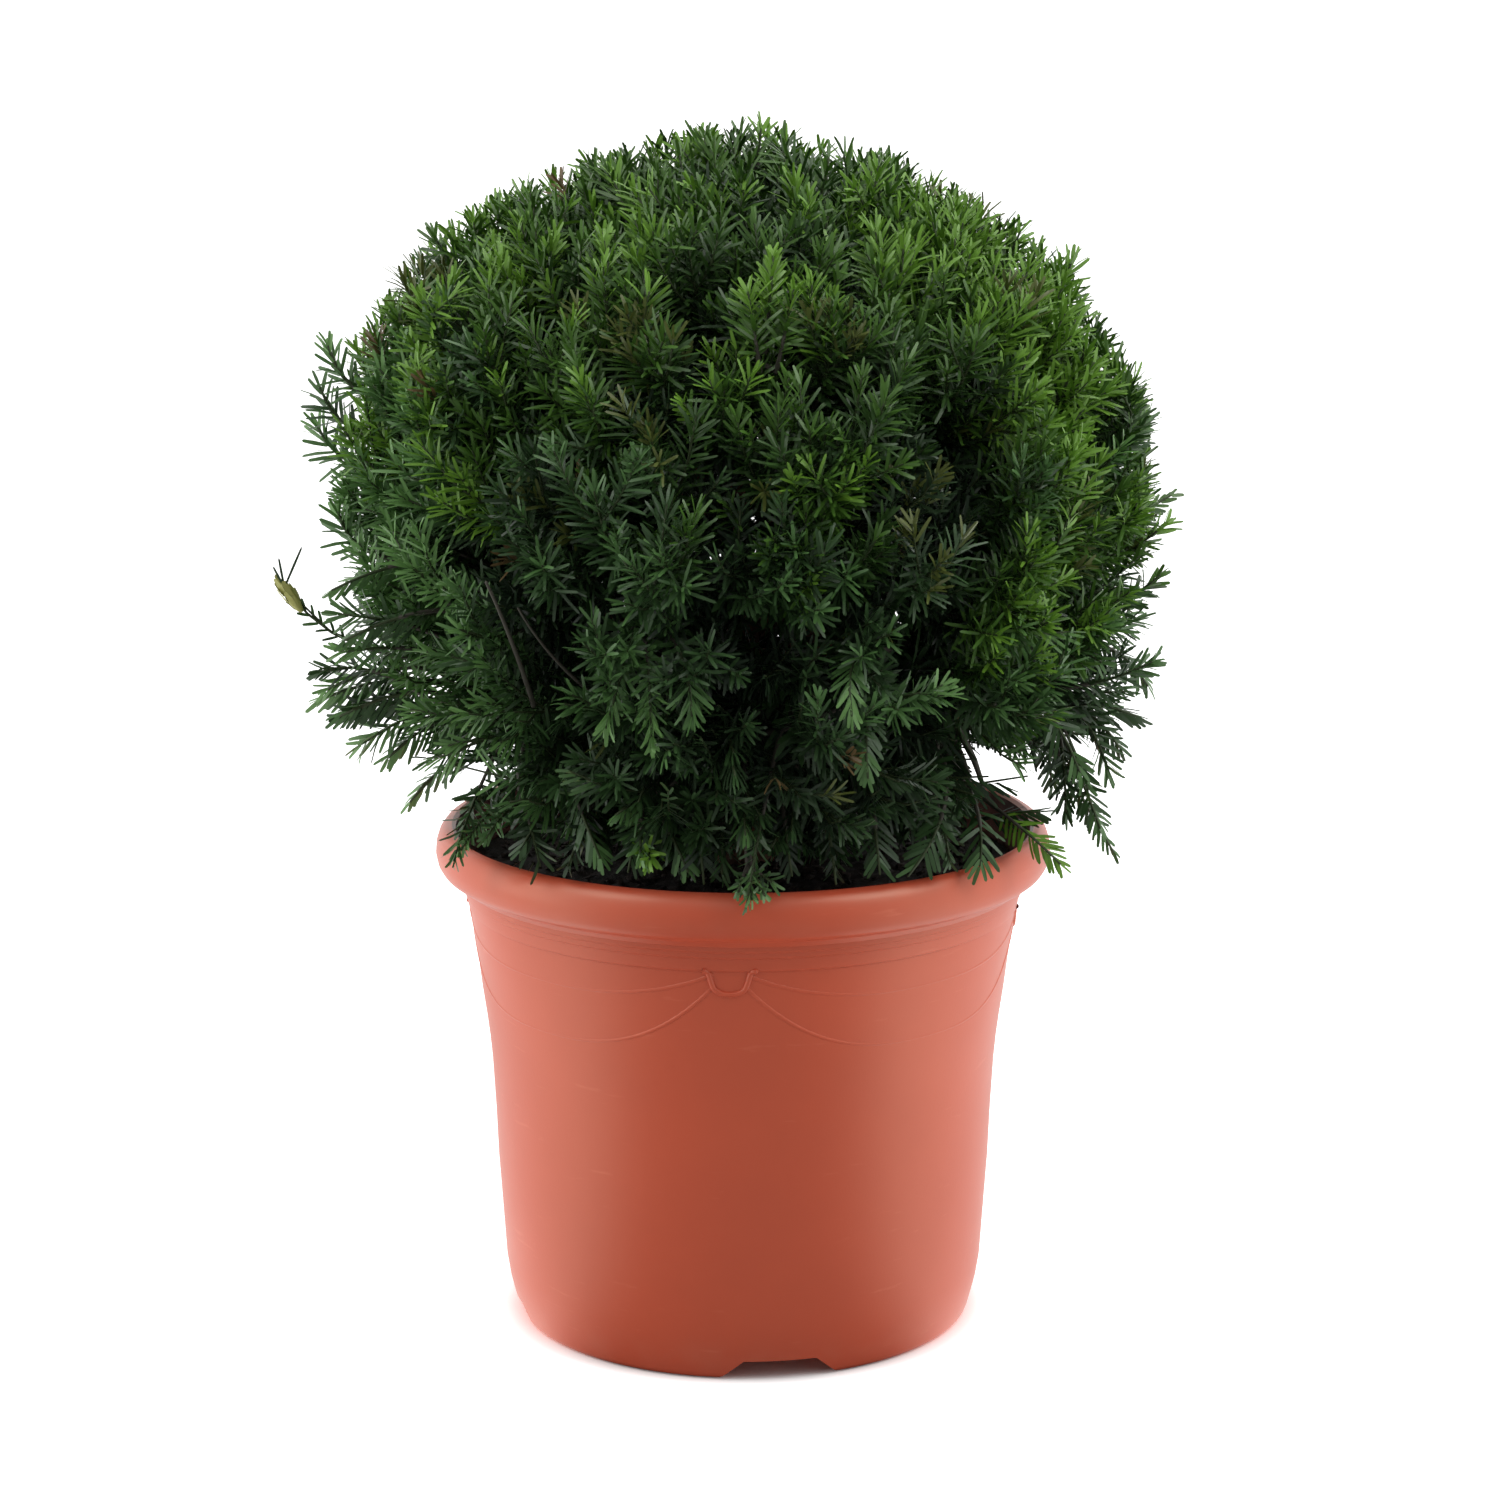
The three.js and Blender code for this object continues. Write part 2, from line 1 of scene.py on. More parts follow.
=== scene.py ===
"""Potted yew ball: the visual model, in metres and in the frame of the solids.

A yew clipped to a ball stands in its round, terracotta-coloured growing pot. Each foliage mass of
the frame is replaced by branches, branchlets, shoots and needles that grow on from its stem by the
rule of the solids, carried to finer shoots within the same reach.
"""

import logging
import math
from dataclasses import dataclass, field, replace
from enum import Enum

import bpy
import numpy as np
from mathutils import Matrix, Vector


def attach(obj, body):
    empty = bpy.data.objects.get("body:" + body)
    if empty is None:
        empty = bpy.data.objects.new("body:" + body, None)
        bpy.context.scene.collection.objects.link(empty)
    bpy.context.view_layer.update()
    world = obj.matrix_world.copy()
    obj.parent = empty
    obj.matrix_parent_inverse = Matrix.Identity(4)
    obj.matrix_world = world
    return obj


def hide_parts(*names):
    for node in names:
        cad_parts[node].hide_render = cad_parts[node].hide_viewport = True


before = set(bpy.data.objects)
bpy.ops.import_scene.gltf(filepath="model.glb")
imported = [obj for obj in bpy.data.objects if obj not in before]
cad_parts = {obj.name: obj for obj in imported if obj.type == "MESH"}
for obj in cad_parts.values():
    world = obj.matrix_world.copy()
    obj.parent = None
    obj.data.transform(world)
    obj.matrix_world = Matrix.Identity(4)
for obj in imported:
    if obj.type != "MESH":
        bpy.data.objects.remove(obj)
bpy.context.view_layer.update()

Array = np.ndarray
Random = np.random.Generator
Pair = tuple[float, float]
Point = tuple[float, float, float]
Triple = tuple[float, float, float]
Colour = tuple[int, int, int]
Corners = tuple[int, int, int]
Socket = bpy.types.NodeSocket
Tree = bpy.types.NodeTree
Material = bpy.types.Material
LOG = logging.getLogger("potted_yew")
MM = 0.001
TURN = 2 * math.pi
ROOT = "root"
WORD = 0xFFFFFFFF
UP = np.array([0.0, 0.0, 1.0])
# Small tilts off the vertical, so that no axis runs along the direction that its sides are told from.
SLANT = np.array([0.013, 0.007, 0.0])
SMALL_TILT = np.array([0.02, 0.01, 0.0])
# How far the needles of a shoot stand in two rows: those of flat shoots and those of round ones.
FLAT, ROUND = 0.9, 0.1


class Slot(Enum):
    """Material slots of the record."""

    POT = "pot"
    MIX = "potting_mix"
    BARK = "bark"
    NEEDLES = "needles"


class Tint(Enum):
    """Needle tints, dealt out by shoot. Each value is a colour as sRGB from 0 to 255."""

    # DEEP, SHADE, LEAF, BRIGHT and FRESH are lit and shaded copies of one needle green, dealt out as painted
    # light and shade; FRESH is also the young growth. The GREY ones are painted grey sheen, and GREY_LEAF is
    # also the painted light on the old inner needles.
    DEEP = (38, 55, 37)
    SHADE = (42, 63, 37)
    LEAF = (50, 80, 33)
    BRIGHT = (67, 103, 36)
    FRESH = (101, 143, 47)
    OLIVE = (82, 92, 42)
    RUSSET = (98, 80, 50)
    BUD = (166, 166, 96)
    GREY_LEAF = (53, 81, 44)
    GREY_BRIGHT = (74, 109, 59)
    GREY_FRESH = (98, 138, 76)

    @property
    def number(self) -> int:
        """Place of the tint among the needle materials."""
        return TINTS.index(self)


TINTS = list(Tint)
# Greyer greens for the painted grey sheen low on the crown and on its left.
GREY_OF = {Tint.LEAF: Tint.GREY_LEAF, Tint.BRIGHT: Tint.GREY_BRIGHT, Tint.FRESH: Tint.GREY_FRESH}
GREYER = np.array([GREY_OF.get(tint, tint).number for tint in TINTS])


def linear(colour: Colour) -> tuple[float, float, float, float]:
    """Turn an sRGB colour from 0 to 255 into a linear one with an alpha of one."""
    shares = [c / 255 for c in colour]
    return (*[s / 12.92 if s <= 0.04045 else ((s + 0.055) / 1.055) ** 2.4 for s in shares], 1.0)


def unit(vectors: Array) -> Array:
    """Scale vectors, whose last axis holds x, y and z, to length one."""
    return vectors / np.maximum(np.linalg.norm(vectors, axis=-1, keepdims=True), 1e-12)


def direction(azimuth: Array, elevation: Array) -> Array:
    """Unit directions of azimuths about +Z from +X and elevations, in radians."""
    flat = np.cos(elevation)
    return np.stack([flat * np.cos(azimuth), flat * np.sin(azimuth), np.sin(elevation)], axis=-1)


def about_z(radius: Array | float, angle: Array | float, height: Array | float) -> Array:
    """Points told by their distance from the Z axis, their angle about it and their height."""
    return np.stack(np.broadcast_arrays(radius * np.cos(angle), radius * np.sin(angle), height), axis=-1)


def quarters(turn: float) -> list[float]:
    """Four even azimuths in radians, from the first one in degrees."""
    return [math.radians(turn) + i * TURN / 4 for i in range(4)]


def between_rings(rings: int, columns: int) -> Array:
    """Triangles that join rings of points, each to the next.

    Args:
        rings: Number of rings.
        columns: Number of points in each ring.

    Returns:
        Point numbers as rows of three.
    """
    column = np.arange(columns)
    row = np.arange(rings - 1)[:, None] * columns
    a, b = row + column, row + (column + 1) % columns
    c, d = a + columns, b + columns
    return np.stack([np.stack([a, b, d], axis=-1), np.stack([a, d, c], axis=-1)], axis=1).reshape(-1, 3)


def fan(first: int, columns: int, point: int) -> Array:
    """Triangles that close a ring of points, told by its first one, with one more point."""
    column = np.arange(columns)
    return np.stack([first + column, first + (column + 1) % columns, np.full_like(column, point)], axis=-1)


def around_axis(along: Array, face: Array, turn: Array) -> tuple[Array, Array]:
    """Directions square to axes, turned about them.

    Args:
        along: Unit directions of the axes.
        face: Direction near which each quarter turn points.
        turn: Angle of each direction in radians.

    Returns:
        The directions, and those at a quarter turn.
    """
    aside = unit(np.cross(along, face))
    over = np.cross(aside, along)
    return aside * np.cos(turn)[..., None] + over * np.sin(turn)[..., None], over


def square_to(vectors: Array, axes: Array) -> Array:
    """Unit directions of vectors less their part along unit axes."""
    return unit(vectors - axes * np.sum(vectors * axes, axis=1, keepdims=True))


def placed(name: str, data: bpy.types.ID) -> bpy.types.Object:
    """Make an object and link it to the scene.

    Args:
        name: Name of the object.
        data: Its mesh, light or camera.

    Returns:
        The object.
    """
    made = bpy.data.objects.new(name, data)
    bpy.context.scene.collection.objects.link(made)
    return made


def tubes(paths: Array, radii: Array, sides: int) -> tuple[Array, Array]:
    """Skin many tapering tubes at once, each closed by a point at its tip.

    Args:
        paths: Points along each tube, as an array of tubes, steps and x, y, z.
        radii: Radius at each step of each tube.
        sides: Number of sides.

    Returns:
        The points and the triangles.
    """
    count, steps = paths.shape[:2]
    along = unit(np.gradient(paths, axis=1))
    angles = np.arange(sides) * TURN / sides
    ring, _ = around_axis(along[:, :, None], UP + SLANT, angles)
    points = paths[:, :, None] + ring * radii[:, :, None, None]
    tips = (paths[:, -1] + along[:, -1] * radii[:, -1, None])[:, None]
    points = np.concatenate([points.reshape(count, steps * sides, 3), tips], axis=1)
    end = steps * sides
    triangles = np.concatenate([between_rings(steps, sides), fan(end - sides, sides, end)])
    shifts = np.arange(count) * (end + 1)
    return points, triangles[None] + shifts[:, None, None]


class SeededNumbers:
    """The small seeded generator of the foliage rule, the same as in the solids."""

    def __init__(self, seed: int) -> None:
        """Start from a whole number."""
        self._state = seed & WORD

    def next(self) -> float:
        """Give the next number.

        Returns:
            A number from 0 to 1.
        """
        self._state = (self._state + 0x6D2B79F5) & WORD
        mixed = ((self._state ^ (self._state >> 15)) * (self._state | 1)) & WORD
        mixed = ((mixed + (((mixed ^ (mixed >> 7)) * (mixed | 61)) & WORD)) & WORD) ^ mixed
        return (mixed ^ (mixed >> 14)) / (WORD + 1)


@dataclass
class MeshParts:
    """Points and triangles gathered for one piece, with a material index for each triangle."""

    points: list[Array] = field(default_factory=list)
    triangles: list[Array] = field(default_factory=list)
    looks: list[Array] = field(default_factory=list)
    count: int = 0

    def add(self, points: Array, triangles: Array, looks: Array | int = 0) -> None:
        """Add a batch of points and triangles.

        Args:
            points: Positions in metres, as rows.
            triangles: Point numbers within this batch, as rows of three.
            looks: Material index of each triangle, or one for all of them.
        """
        self.points.append(points.reshape(-1, 3))
        self.triangles.append(triangles.reshape(-1, 3) + self.count)
        self.looks.append(np.broadcast_to(looks, (triangles.size // 3,)))
        self.count += points.size // 3

    def piece(
        self, name: str, materials: list[Material], slot: Slot, nodes: tuple[str, ...] = ()
    ) -> bpy.types.Object:
        """Make the Blender object and ride it on the root body.

        Args:
            name: Name of the piece.
            materials: Materials in the order of the material indices.
            slot: Record slot that the finish comes from; not used.
            nodes: Nodes of the frame that the piece stands for.

        Returns:
            The new object.
        """
        points = np.concatenate(self.points).astype(np.float32)
        corners = np.concatenate(self.triangles).astype(np.int32)
        mesh = bpy.data.meshes.new(name)
        mesh.vertices.add(len(points))
        mesh.vertices.foreach_set("co", points.ravel())
        mesh.loops.add(corners.size)
        mesh.loops.foreach_set("vertex_index", corners.ravel())
        mesh.polygons.add(len(corners))
        mesh.polygons.foreach_set("loop_start", np.arange(0, corners.size, 3, dtype=np.int32))
        mesh.polygons.foreach_set("material_index", np.concatenate(self.looks).astype(np.int32))
        mesh.polygons.foreach_set("use_smooth", np.ones(len(corners), dtype=bool))
        mesh.update(calc_edges=True)
        mesh.validate()
        for material in materials:
            mesh.materials.append(material)
        piece = placed(name, mesh)
        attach(piece, ROOT)
        if nodes:
            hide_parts(*nodes)
        LOG.info("piece %s: %d faces", piece.name, len(piece.data.polygons))
        return piece


@dataclass
class Arches:
    """Many quadratic arches, each from its root by way of a knee to its tip."""

    root: Array
    knee: Array
    tip: Array

    def at(self, which: Array, share: Array) -> Array:
        """Points on the arches, each told by its arch's number and its share of that arch's length."""
        s = share[:, None]
        return self.root[which] * (1 - s) ** 2 + self.knee[which] * 2 * s * (1 - s) + self.tip[which] * s**2

    def along(self, which: Array, share: Array) -> Array:
        """Unit tangents of the arches.

        Args:
            which: Number of the arch for each tangent.
            share: Share of the arch's length for each tangent.

        Returns:
            The tangents as rows.
        """
        s = share[:, None]
        early = self.knee[which] - self.root[which]
        late = self.tip[which] - self.knee[which]
        return unit(early * (1 - s) + late * s)

    def paths(self, steps: int) -> Array:
        """Points at even shares along every arch.

        Args:
            steps: Number of points on each arch.

        Returns:
            An array of arches, steps and x, y, z.
        """
        shares = np.linspace(0, 1, steps)
        each = np.arange(len(self.root))
        return np.stack([self.at(each, np.full(len(each), s)) for s in shares], axis=1)

    def length(self) -> Array:
        """Rough length of each arch."""
        return np.linalg.norm(self.knee - self.root, axis=1) + np.linalg.norm(self.tip - self.knee, axis=1)

    def joined(self, other: "Arches") -> "Arches":
        """These arches followed by other ones."""
        pairs = [(self.root, other.root), (self.knee, other.knee), (self.tip, other.tip)]
        return Arches(*[np.concatenate(pair) for pair in pairs])

    def ends(self, cut: float) -> "Arches":
        """Outer ends of the arches, from a share of their length on, as arches of their own."""
        start = self.at(np.arange(len(self.root)), np.full(len(self.root), cut))
        return Arches(start, self.knee * (1 - cut) + self.tip * cut, self.tip)

    def taper(self, steps: int, radii: Pair) -> Array:
        """Radii at even shares along every arch, from the first to the last."""
        return np.broadcast_to(np.linspace(*radii, steps), (len(self.root), steps))

    def skin(self, steps: int, radii: Pair, sides: int) -> tuple[Array, Array]:
        """Points and triangles of tubes along the arches."""
        return tubes(self.paths(steps), self.taper(steps, radii), sides)


@dataclass
class CrownForm:
    """Outline of the crown, the same as in the solids.

    reach lists the distance from the centre to the outline by elevation in degrees, and swells are
    slow swellings of it as (share, azimuth, elevation, spread).
    """

    centre: Array = field(default_factory=lambda: np.array([0.0, 0.0, 0.400]))
    elevations: tuple[float, ...] = (-90, -60, -46, -36, -27, -12, 0, 15, 35, 60, 90)
    reaches: tuple[float, ...] = (156, 178, 202, 211, 214, 203, 202, 207, 206, 196, 192)
    swells: tuple[tuple[float, float, float, float], ...] = (
        (0.030, 180, 14, 34), (0.030, 8, 0, 30), (-0.030, 190, -14, 24), (-0.020, 0, 40, 26),
    )

    def reach(self, azimuth: Array, elevation: Array) -> Array:
        """Distance from the centre to the outline.

        Args:
            azimuth: Azimuths in radians.
            elevation: Elevations in radians.

        Returns:
            The distances in metres.
        """
        angle = np.degrees(elevation)
        reach = np.interp(angle, self.elevations, self.reaches) * MM
        for share, swell_azimuth, swell_elevation, spread in self.swells:
            turned = azimuth - math.radians(swell_azimuth)
            sideways = np.degrees(np.arctan2(np.sin(turned), np.cos(turned))) * np.cos(elevation)
            distance = np.hypot(sideways, angle - swell_elevation) / spread
            reach = reach * (1 + share * np.exp(-(distance**2)))
        return reach

    def point(self, azimuth: Array, elevation: Array, share: Array) -> Array:
        """Points at shares of the reach in the directions of azimuths and elevations."""
        distance = self.reach(azimuth, elevation) * share
        return self.centre + direction(azimuth, elevation) * np.asarray(distance)[..., None]

    def share_of(self, points: Array) -> Array:
        """Share of the reach at which points lie.

        Args:
            points: Points as rows.

        Returns:
            One share for each point, one at the outline.
        """
        away = points - self.centre
        distance = np.linalg.norm(away, axis=-1)
        elevation = np.arcsin(np.clip(away[..., 2] / np.maximum(distance, 1e-9), -1, 1))
        return distance / self.reach(np.arctan2(away[..., 1], away[..., 0]), elevation)


@dataclass
class Mass:
    """One foliage mass: its own space, the hub where its bough ends, and its seed."""

    name: str
    azimuth: float
    half_width: float
    low: float
    high: float
    hub: Array
    root_height: float
    root_radius: float
    hub_radius: float
    rows: tuple[int, ...]
    seed: int

    @property
    def middle(self) -> float:
        """Elevation of the middle of the space."""
        return (self.low + self.high) / 2


@dataclass(frozen=True)
class Band:
    """Ring of foliage masses between two elevations in degrees, with sizes in millimetres."""

    name: str
    count: int
    turn: float
    low: float
    high: float
    hub: Pair
    roots: Pair
    root_radius: float
    hub_radius: float
    rows: tuple[int, ...]

    def masses(self, seed: int) -> list[Mass]:
        """Masses of the band.

        Args:
            seed: Seed of the first mass.

        Returns:
            The masses in order of azimuth.
        """
        found = []
        for i in range(self.count):
            azimuth = math.radians(self.turn) + i * TURN / self.count
            order = (i * (self.count - 1)) % self.count
            staggered = (order % 2) * 0.5 + order / self.count * 0.5
            found.append(Mass(
                name=f"{self.name}_{i + 1}",
                azimuth=azimuth,
                half_width=TURN / self.count / 2,
                low=math.radians(self.low),
                high=math.radians(self.high),
                hub=about_z(self.hub[0], azimuth, self.hub[1]) * MM,
                root_height=(self.roots[0] + (self.roots[1] - self.roots[0]) * staggered) * MM,
                root_radius=self.root_radius * MM,
                hub_radius=self.hub_radius * MM,
                rows=self.rows,
                seed=seed + i,
            ))
        return found


SEED = 4127
SKIRT = Band("skirt", 6, 30, -60, -15, (57, 320), (250, 284), 4.6, 3.2, (2, 3, 2))
WAIST = Band("waist", 6, 0, -15, 18, (84, 362), (304, 340), 4.6, 3.1, (2, 3, 2))
SHOULDER = Band("shoulder", 5, -90, 18, 58, (64, 446), (362, 400), 4.2, 3.0, (3, 2, 2))
BANDS = (SKIRT, WAIST, SHOULDER)


def feed(tree: Tree, socket: Socket, value: object) -> None:
    """Link an input socket to an output socket, or set it to a plain value.

    Args:
        tree: The node tree.
        socket: The input socket.
        value: The output socket or the plain value.
    """
    if isinstance(value, Socket):
        tree.links.new(value, socket)
    else:
        socket.default_value = value


def add_node(tree: Tree, kind: str, feeds: dict, **settings: object) -> bpy.types.Node:
    """Add a shader node.

    Args:
        tree: The node tree.
        kind: Its type name, less ShaderNode.
        feeds: A value or an output socket for each input, by name or number.
        **settings: Attributes to set on the node.

    Returns:
        The node.
    """
    node = tree.nodes.new(f"ShaderNode{kind}")
    for label, value in settings.items():
        setattr(node, label, value)
    for label, value in feeds.items():
        feed(tree, node.inputs[label], value)
    return node


def wire(
    tree: Tree, kind: str, output: str, feeds: dict | None = None, **settings: object
) -> Socket:
    """Add a shader node as add_node does, and give the output socket of the given name."""
    return add_node(tree, kind, feeds or {}, **settings).outputs[output]


def smooth_rise(tree: Tree, value: Socket, span: Pair, ends: Pair) -> Socket:
    """Give a smooth change between two values while another crosses a span.

    Args:
        tree: The node tree.
        value: Socket with the value that drives the change.
        span: Where the change starts and ends.
        ends: The result before and after it.

    Returns:
        The socket with the result.
    """
    low, high = span
    start, end = ends
    feeds = {"Value": value, "From Min": low, "From Max": high, "To Min": start, "To Max": end}
    return wire(tree, "MapRange", "Result", feeds, interpolation_type="SMOOTHSTEP")


class EffectKit:
    """Shader node groups that more than one finish uses, each built once."""

    def __init__(self) -> None:
        """Build the groups."""
        self.mottle = self._mottle()
        self.grain = self._grain()
        self.dust = self._dust()

    @staticmethod
    def _start(name: str, ins: dict[str, object], outs: tuple[str, ...]) -> tuple:
        """Start a node group with named sockets.

        Args:
            name: Name of the group.
            ins: Input names with their values, a tuple for a colour.
            outs: Output names. Color is a colour, and any other a value.

        Returns:
            The group, the sockets that its input node gives and those that its output node takes.
        """
        group = bpy.data.node_groups.new(name, "ShaderNodeTree")
        for label, value in ins.items():
            kind = "NodeSocketColor" if isinstance(value, tuple) else "NodeSocketFloat"
            group.interface.new_socket(name=label, in_out="INPUT", socket_type=kind).default_value = value
        for label in outs:
            kind = "NodeSocketColor" if label == "Color" else "NodeSocketFloat"
            group.interface.new_socket(name=label, in_out="OUTPUT", socket_type=kind)
        return group, group.nodes.new("NodeGroupInput").outputs, group.nodes.new("NodeGroupOutput").inputs

    def _mottle(self) -> Tree:
        """Soft cloudy variation that shifts a colour between two tones.

        Returns:
            The group, which gives the colour and its mask.
        """
        ins = {"Light": (1, 1, 1, 1), "Dark": (0, 0, 0, 1), "Scale": 20.0, "Contrast": 1.0}
        group, given, out = self._start("cloudy_mottle", ins, ("Color", "Mask"))
        place = wire(group, "TexCoord", "Object")
        noise = wire(group, "TexNoise", "Fac", {"Vector": place, "Scale": given["Scale"], "Detail": 5})
        spread = wire(group, "MapRange", "Result", {"Value": noise, "From Min": 0.32, "From Max": 0.68})
        mask = wire(group, "Math", "Value", {0: spread, 1: given["Contrast"]}, operation="MULTIPLY")
        tones = {"Factor": mask, "A": given["Light"], "B": given["Dark"]}
        feed(group, out["Color"], wire(group, "Mix", "Result", tones, data_type="RGBA"))
        feed(group, out["Mask"], mask)
        return group

    def _grain(self) -> Tree:
        """Fine height grain, stretched along Z by Stretch.

        Returns:
            The group, which gives the height.
        """
        ins = {"Scale": 400.0, "Stretch": 1.0, "Detail": 3.0}
        group, given, out = self._start("fine_grain", ins, ("Height",))
        place = wire(group, "TexCoord", "Object")
        squeeze = wire(group, "CombineXYZ", "Vector", {"X": 1, "Y": 1, "Z": given["Stretch"]})
        product = wire(group, "VectorMath", "Vector", {0: place, 1: squeeze}, operation="MULTIPLY")
        feeds = {"Vector": product, "Scale": given["Scale"], "Detail": given["Detail"]}
        feed(group, out["Height"], wire(group, "TexNoise", "Fac", feeds))
        return group

    def _dust(self) -> Tree:
        """Mask of soil dust: strongest in patches near a height band.

        Returns:
            The group, which gives the mask.
        """
        ins = {"Centre": 0.2, "Reach": 0.02, "Amount": 0.5}
        group, given, out = self._start("soil_dust", ins, ("Mask",))
        place = wire(group, "TexCoord", "Object")
        height = wire(group, "SeparateXYZ", "Z", {"Vector": place})
        offset = wire(group, "Math", "Value", {0: height, 1: given["Centre"]}, operation="SUBTRACT")
        size = wire(group, "Math", "Value", {0: offset}, operation="ABSOLUTE")
        ratio = wire(group, "Math", "Value", {0: size, 1: given["Reach"]}, operation="DIVIDE")
        fade = wire(group, "MapRange", "Result", {"Value": ratio, "From Min": 1, "From Max": 0})
        noise = wire(group, "TexNoise", "Fac", {"Vector": place, "Scale": 38, "Detail": 6})
        patch = wire(group, "MapRange", "Result", {"Value": noise, "From Min": 0.42, "From Max": 0.66})
        both = wire(group, "Math", "Value", {0: fade, 1: patch}, operation="MULTIPLY")
        mask = wire(group, "Math", "Value", {0: both, 1: given["Amount"]}, operation="MULTIPLY")
        feed(group, out["Mask"], mask)
        return group


@dataclass
class Finish:
    """A material under construction: its Principled shader and helpers to feed it."""

    name: str

    def __post_init__(self) -> None:
        """Start the material with its shader."""
        self.material = bpy.data.materials.new(self.name)
        self.material.use_nodes = True
        self.tree = self.material.node_tree
        self.shader = self.tree.nodes["Principled BSDF"]

    def set(self, **values: object) -> None:
        """Feed the shader's own inputs with values or sockets, with underscores for spaces."""
        for label, value in values.items():
            feed(self.tree, self.shader.inputs[label.replace("_", " ")], value)

    def effect(self, group: Tree, **values: object) -> bpy.types.bpy_prop_collection:
        """Place an effect group.

        Args:
            group: The node group.
            **values: Values of its inputs.

        Returns:
            The outputs of the group node.
        """
        node = add_node(self.tree, "Group", {}, node_tree=group)
        for label, value in values.items():
            feed(self.tree, node.inputs[label], value)
        return node.outputs

    def grained(self, effects: EffectKit, grain: Triple) -> Socket:
        """Place a grain of a scale, stretch and detail, and give its height."""
        scale, stretch, detail = grain
        return self.effect(effects.grain, Scale=scale, Stretch=stretch, Detail=detail)["Height"]

    def bump(self, height: Socket, strength: float, distance: float) -> None:
        """Feed a height to the shader's normal, by the relief's strength and its height in metres."""
        feeds = {"Height": height, "Strength": strength, "Distance": distance}
        self.set(Normal=wire(self.tree, "Bump", "Normal", feeds))

    def mixed(self, mask: Socket, below: object, above: object) -> Socket:
        """Lay one colour over another, each a socket or a linear colour, by a mask."""
        feeds = {"Factor": mask, "A": below, "B": above}
        return wire(self.tree, "Mix", "Result", feeds, data_type="RGBA")


@dataclass(frozen=True)
class PotPlastic:
    """Terracotta-coloured moulded plastic: satin, softly mottled, dusty at the rim and the foot.

    dusty lists bands of dust as (height, reach, amount), with heights in metres. scuffed tells where
    in the noise scuffs start and end, and their strength. mottle is (scale, contrast), the grains are
    (scale, stretch, detail), and relief is (strength, height in metres).
    """

    light: Colour = (204, 86, 58)
    dark: Colour = (192, 78, 52)
    dust: Colour = (206, 140, 116)
    scuff: Colour = (226, 128, 98)
    sheen: tuple[float, float, float, float] = (1.0, 0.92, 0.72, 1.0)
    dusty: tuple[Triple, ...] = (
        (0.228, 0.02, 0.05), (0.246, 0.004, 0.1), (0.010, 0.014, 0.12),
    )
    mottle: Pair = (9.0, 0.7)
    scuffed: Triple = (0.66, 0.80, 0.3)
    scuff_grain: Triple = (34.0, 7.0, 3.0)
    fine_grain: Triple = (900.0, 0.6, 2.0)
    relief: Pair = (0.10, 0.0003)
    roughness: Pair = (0.32, 0.42)

    def material(self, effects: EffectKit) -> Material:
        """Build the material.

        Args:
            effects: The shared effect groups.

        Returns:
            The material.
        """
        finish = Finish("terracotta_plastic")
        scale, contrast = self.mottle
        light, dark = linear(self.light), linear(self.dark)
        tone = finish.effect(effects.mottle, Light=light, Dark=dark, Scale=scale, Contrast=contrast)
        colour = tone["Color"]
        for centre, reach, amount in self.dusty:
            dust = finish.effect(effects.dust, Centre=centre, Reach=reach, Amount=amount)
            colour = finish.mixed(dust["Mask"], colour, linear(self.dust))
        start, end, strength = self.scuffed
        scuffs = finish.grained(effects, self.scuff_grain)
        feeds = {"Value": scuffs, "From Min": start, "From Max": end, "To Max": strength}
        seen = wire(finish.tree, "MapRange", "Result", feeds)
        low, high = self.roughness
        feeds = {"Value": tone["Mask"], "To Min": low, "To Max": high}
        rough = wire(finish.tree, "MapRange", "Result", feeds)
        finish.bump(finish.grained(effects, self.fine_grain), *self.relief)
        finish.set(Base_Color=finish.mixed(seen, colour, linear(self.scuff)), Roughness=rough)
        finish.set(IOR=1.7, Specular_Tint=self.sheen)
        return finish.material


@dataclass(frozen=True)
class ReliefFinish:
    """A dull finish of two cloudy tones with a grain in relief.

    grain is its scale, stretch and detail, and relief its strength and its height in metres.
    """

    name: str
    light: Colour
    dark: Colour
    scale: float
    grain: Triple
    relief: Pair
    roughness: float

    def material(self, effects: EffectKit) -> Material:
        """Build the material.

        Args:
            effects: The shared effect groups.

        Returns:
            The material.
        """
        finish = Finish(self.name)
        light, dark = linear(self.light), linear(self.dark)
        tone = finish.effect(effects.mottle, Light=light, Dark=dark, Scale=self.scale)
        finish.bump(finish.grained(effects, self.grain), *self.relief)
        finish.set(Base_Color=tone["Color"], Roughness=self.roughness)
        return finish.material


# Inside of the pot: the same plastic in a much darker mottle.
POT_INSIDE = ReliefFinish(
    "darker_inner_plastic", (150, 74, 56), (62, 40, 32), 26.0, (500.0, 0.5, 4.0), (0.3, 0.0008), 0.7
)
# Potting mix: a dark brown made darker still, painted shade inside the pot's mouth; the bark chips keep its
# dark tone.
DARKENED_MIX = ReliefFinish(
    "potting_mix", (46, 35, 28), (18, 14, 12), 160.0, (700.0, 1.0, 6.0), (0.7, 0.0015), 0.9
)
BARK_CHIP = replace(DARKENED_MIX, name="bark_chip", light=(68, 57, 50))
FLAKING_BARK = ReliefFinish(
    "flaking_bark", (122, 90, 68), (66, 44, 34), 120.0, (420.0, 0.18, 5.0), (0.8, 0.0012), 0.85
)


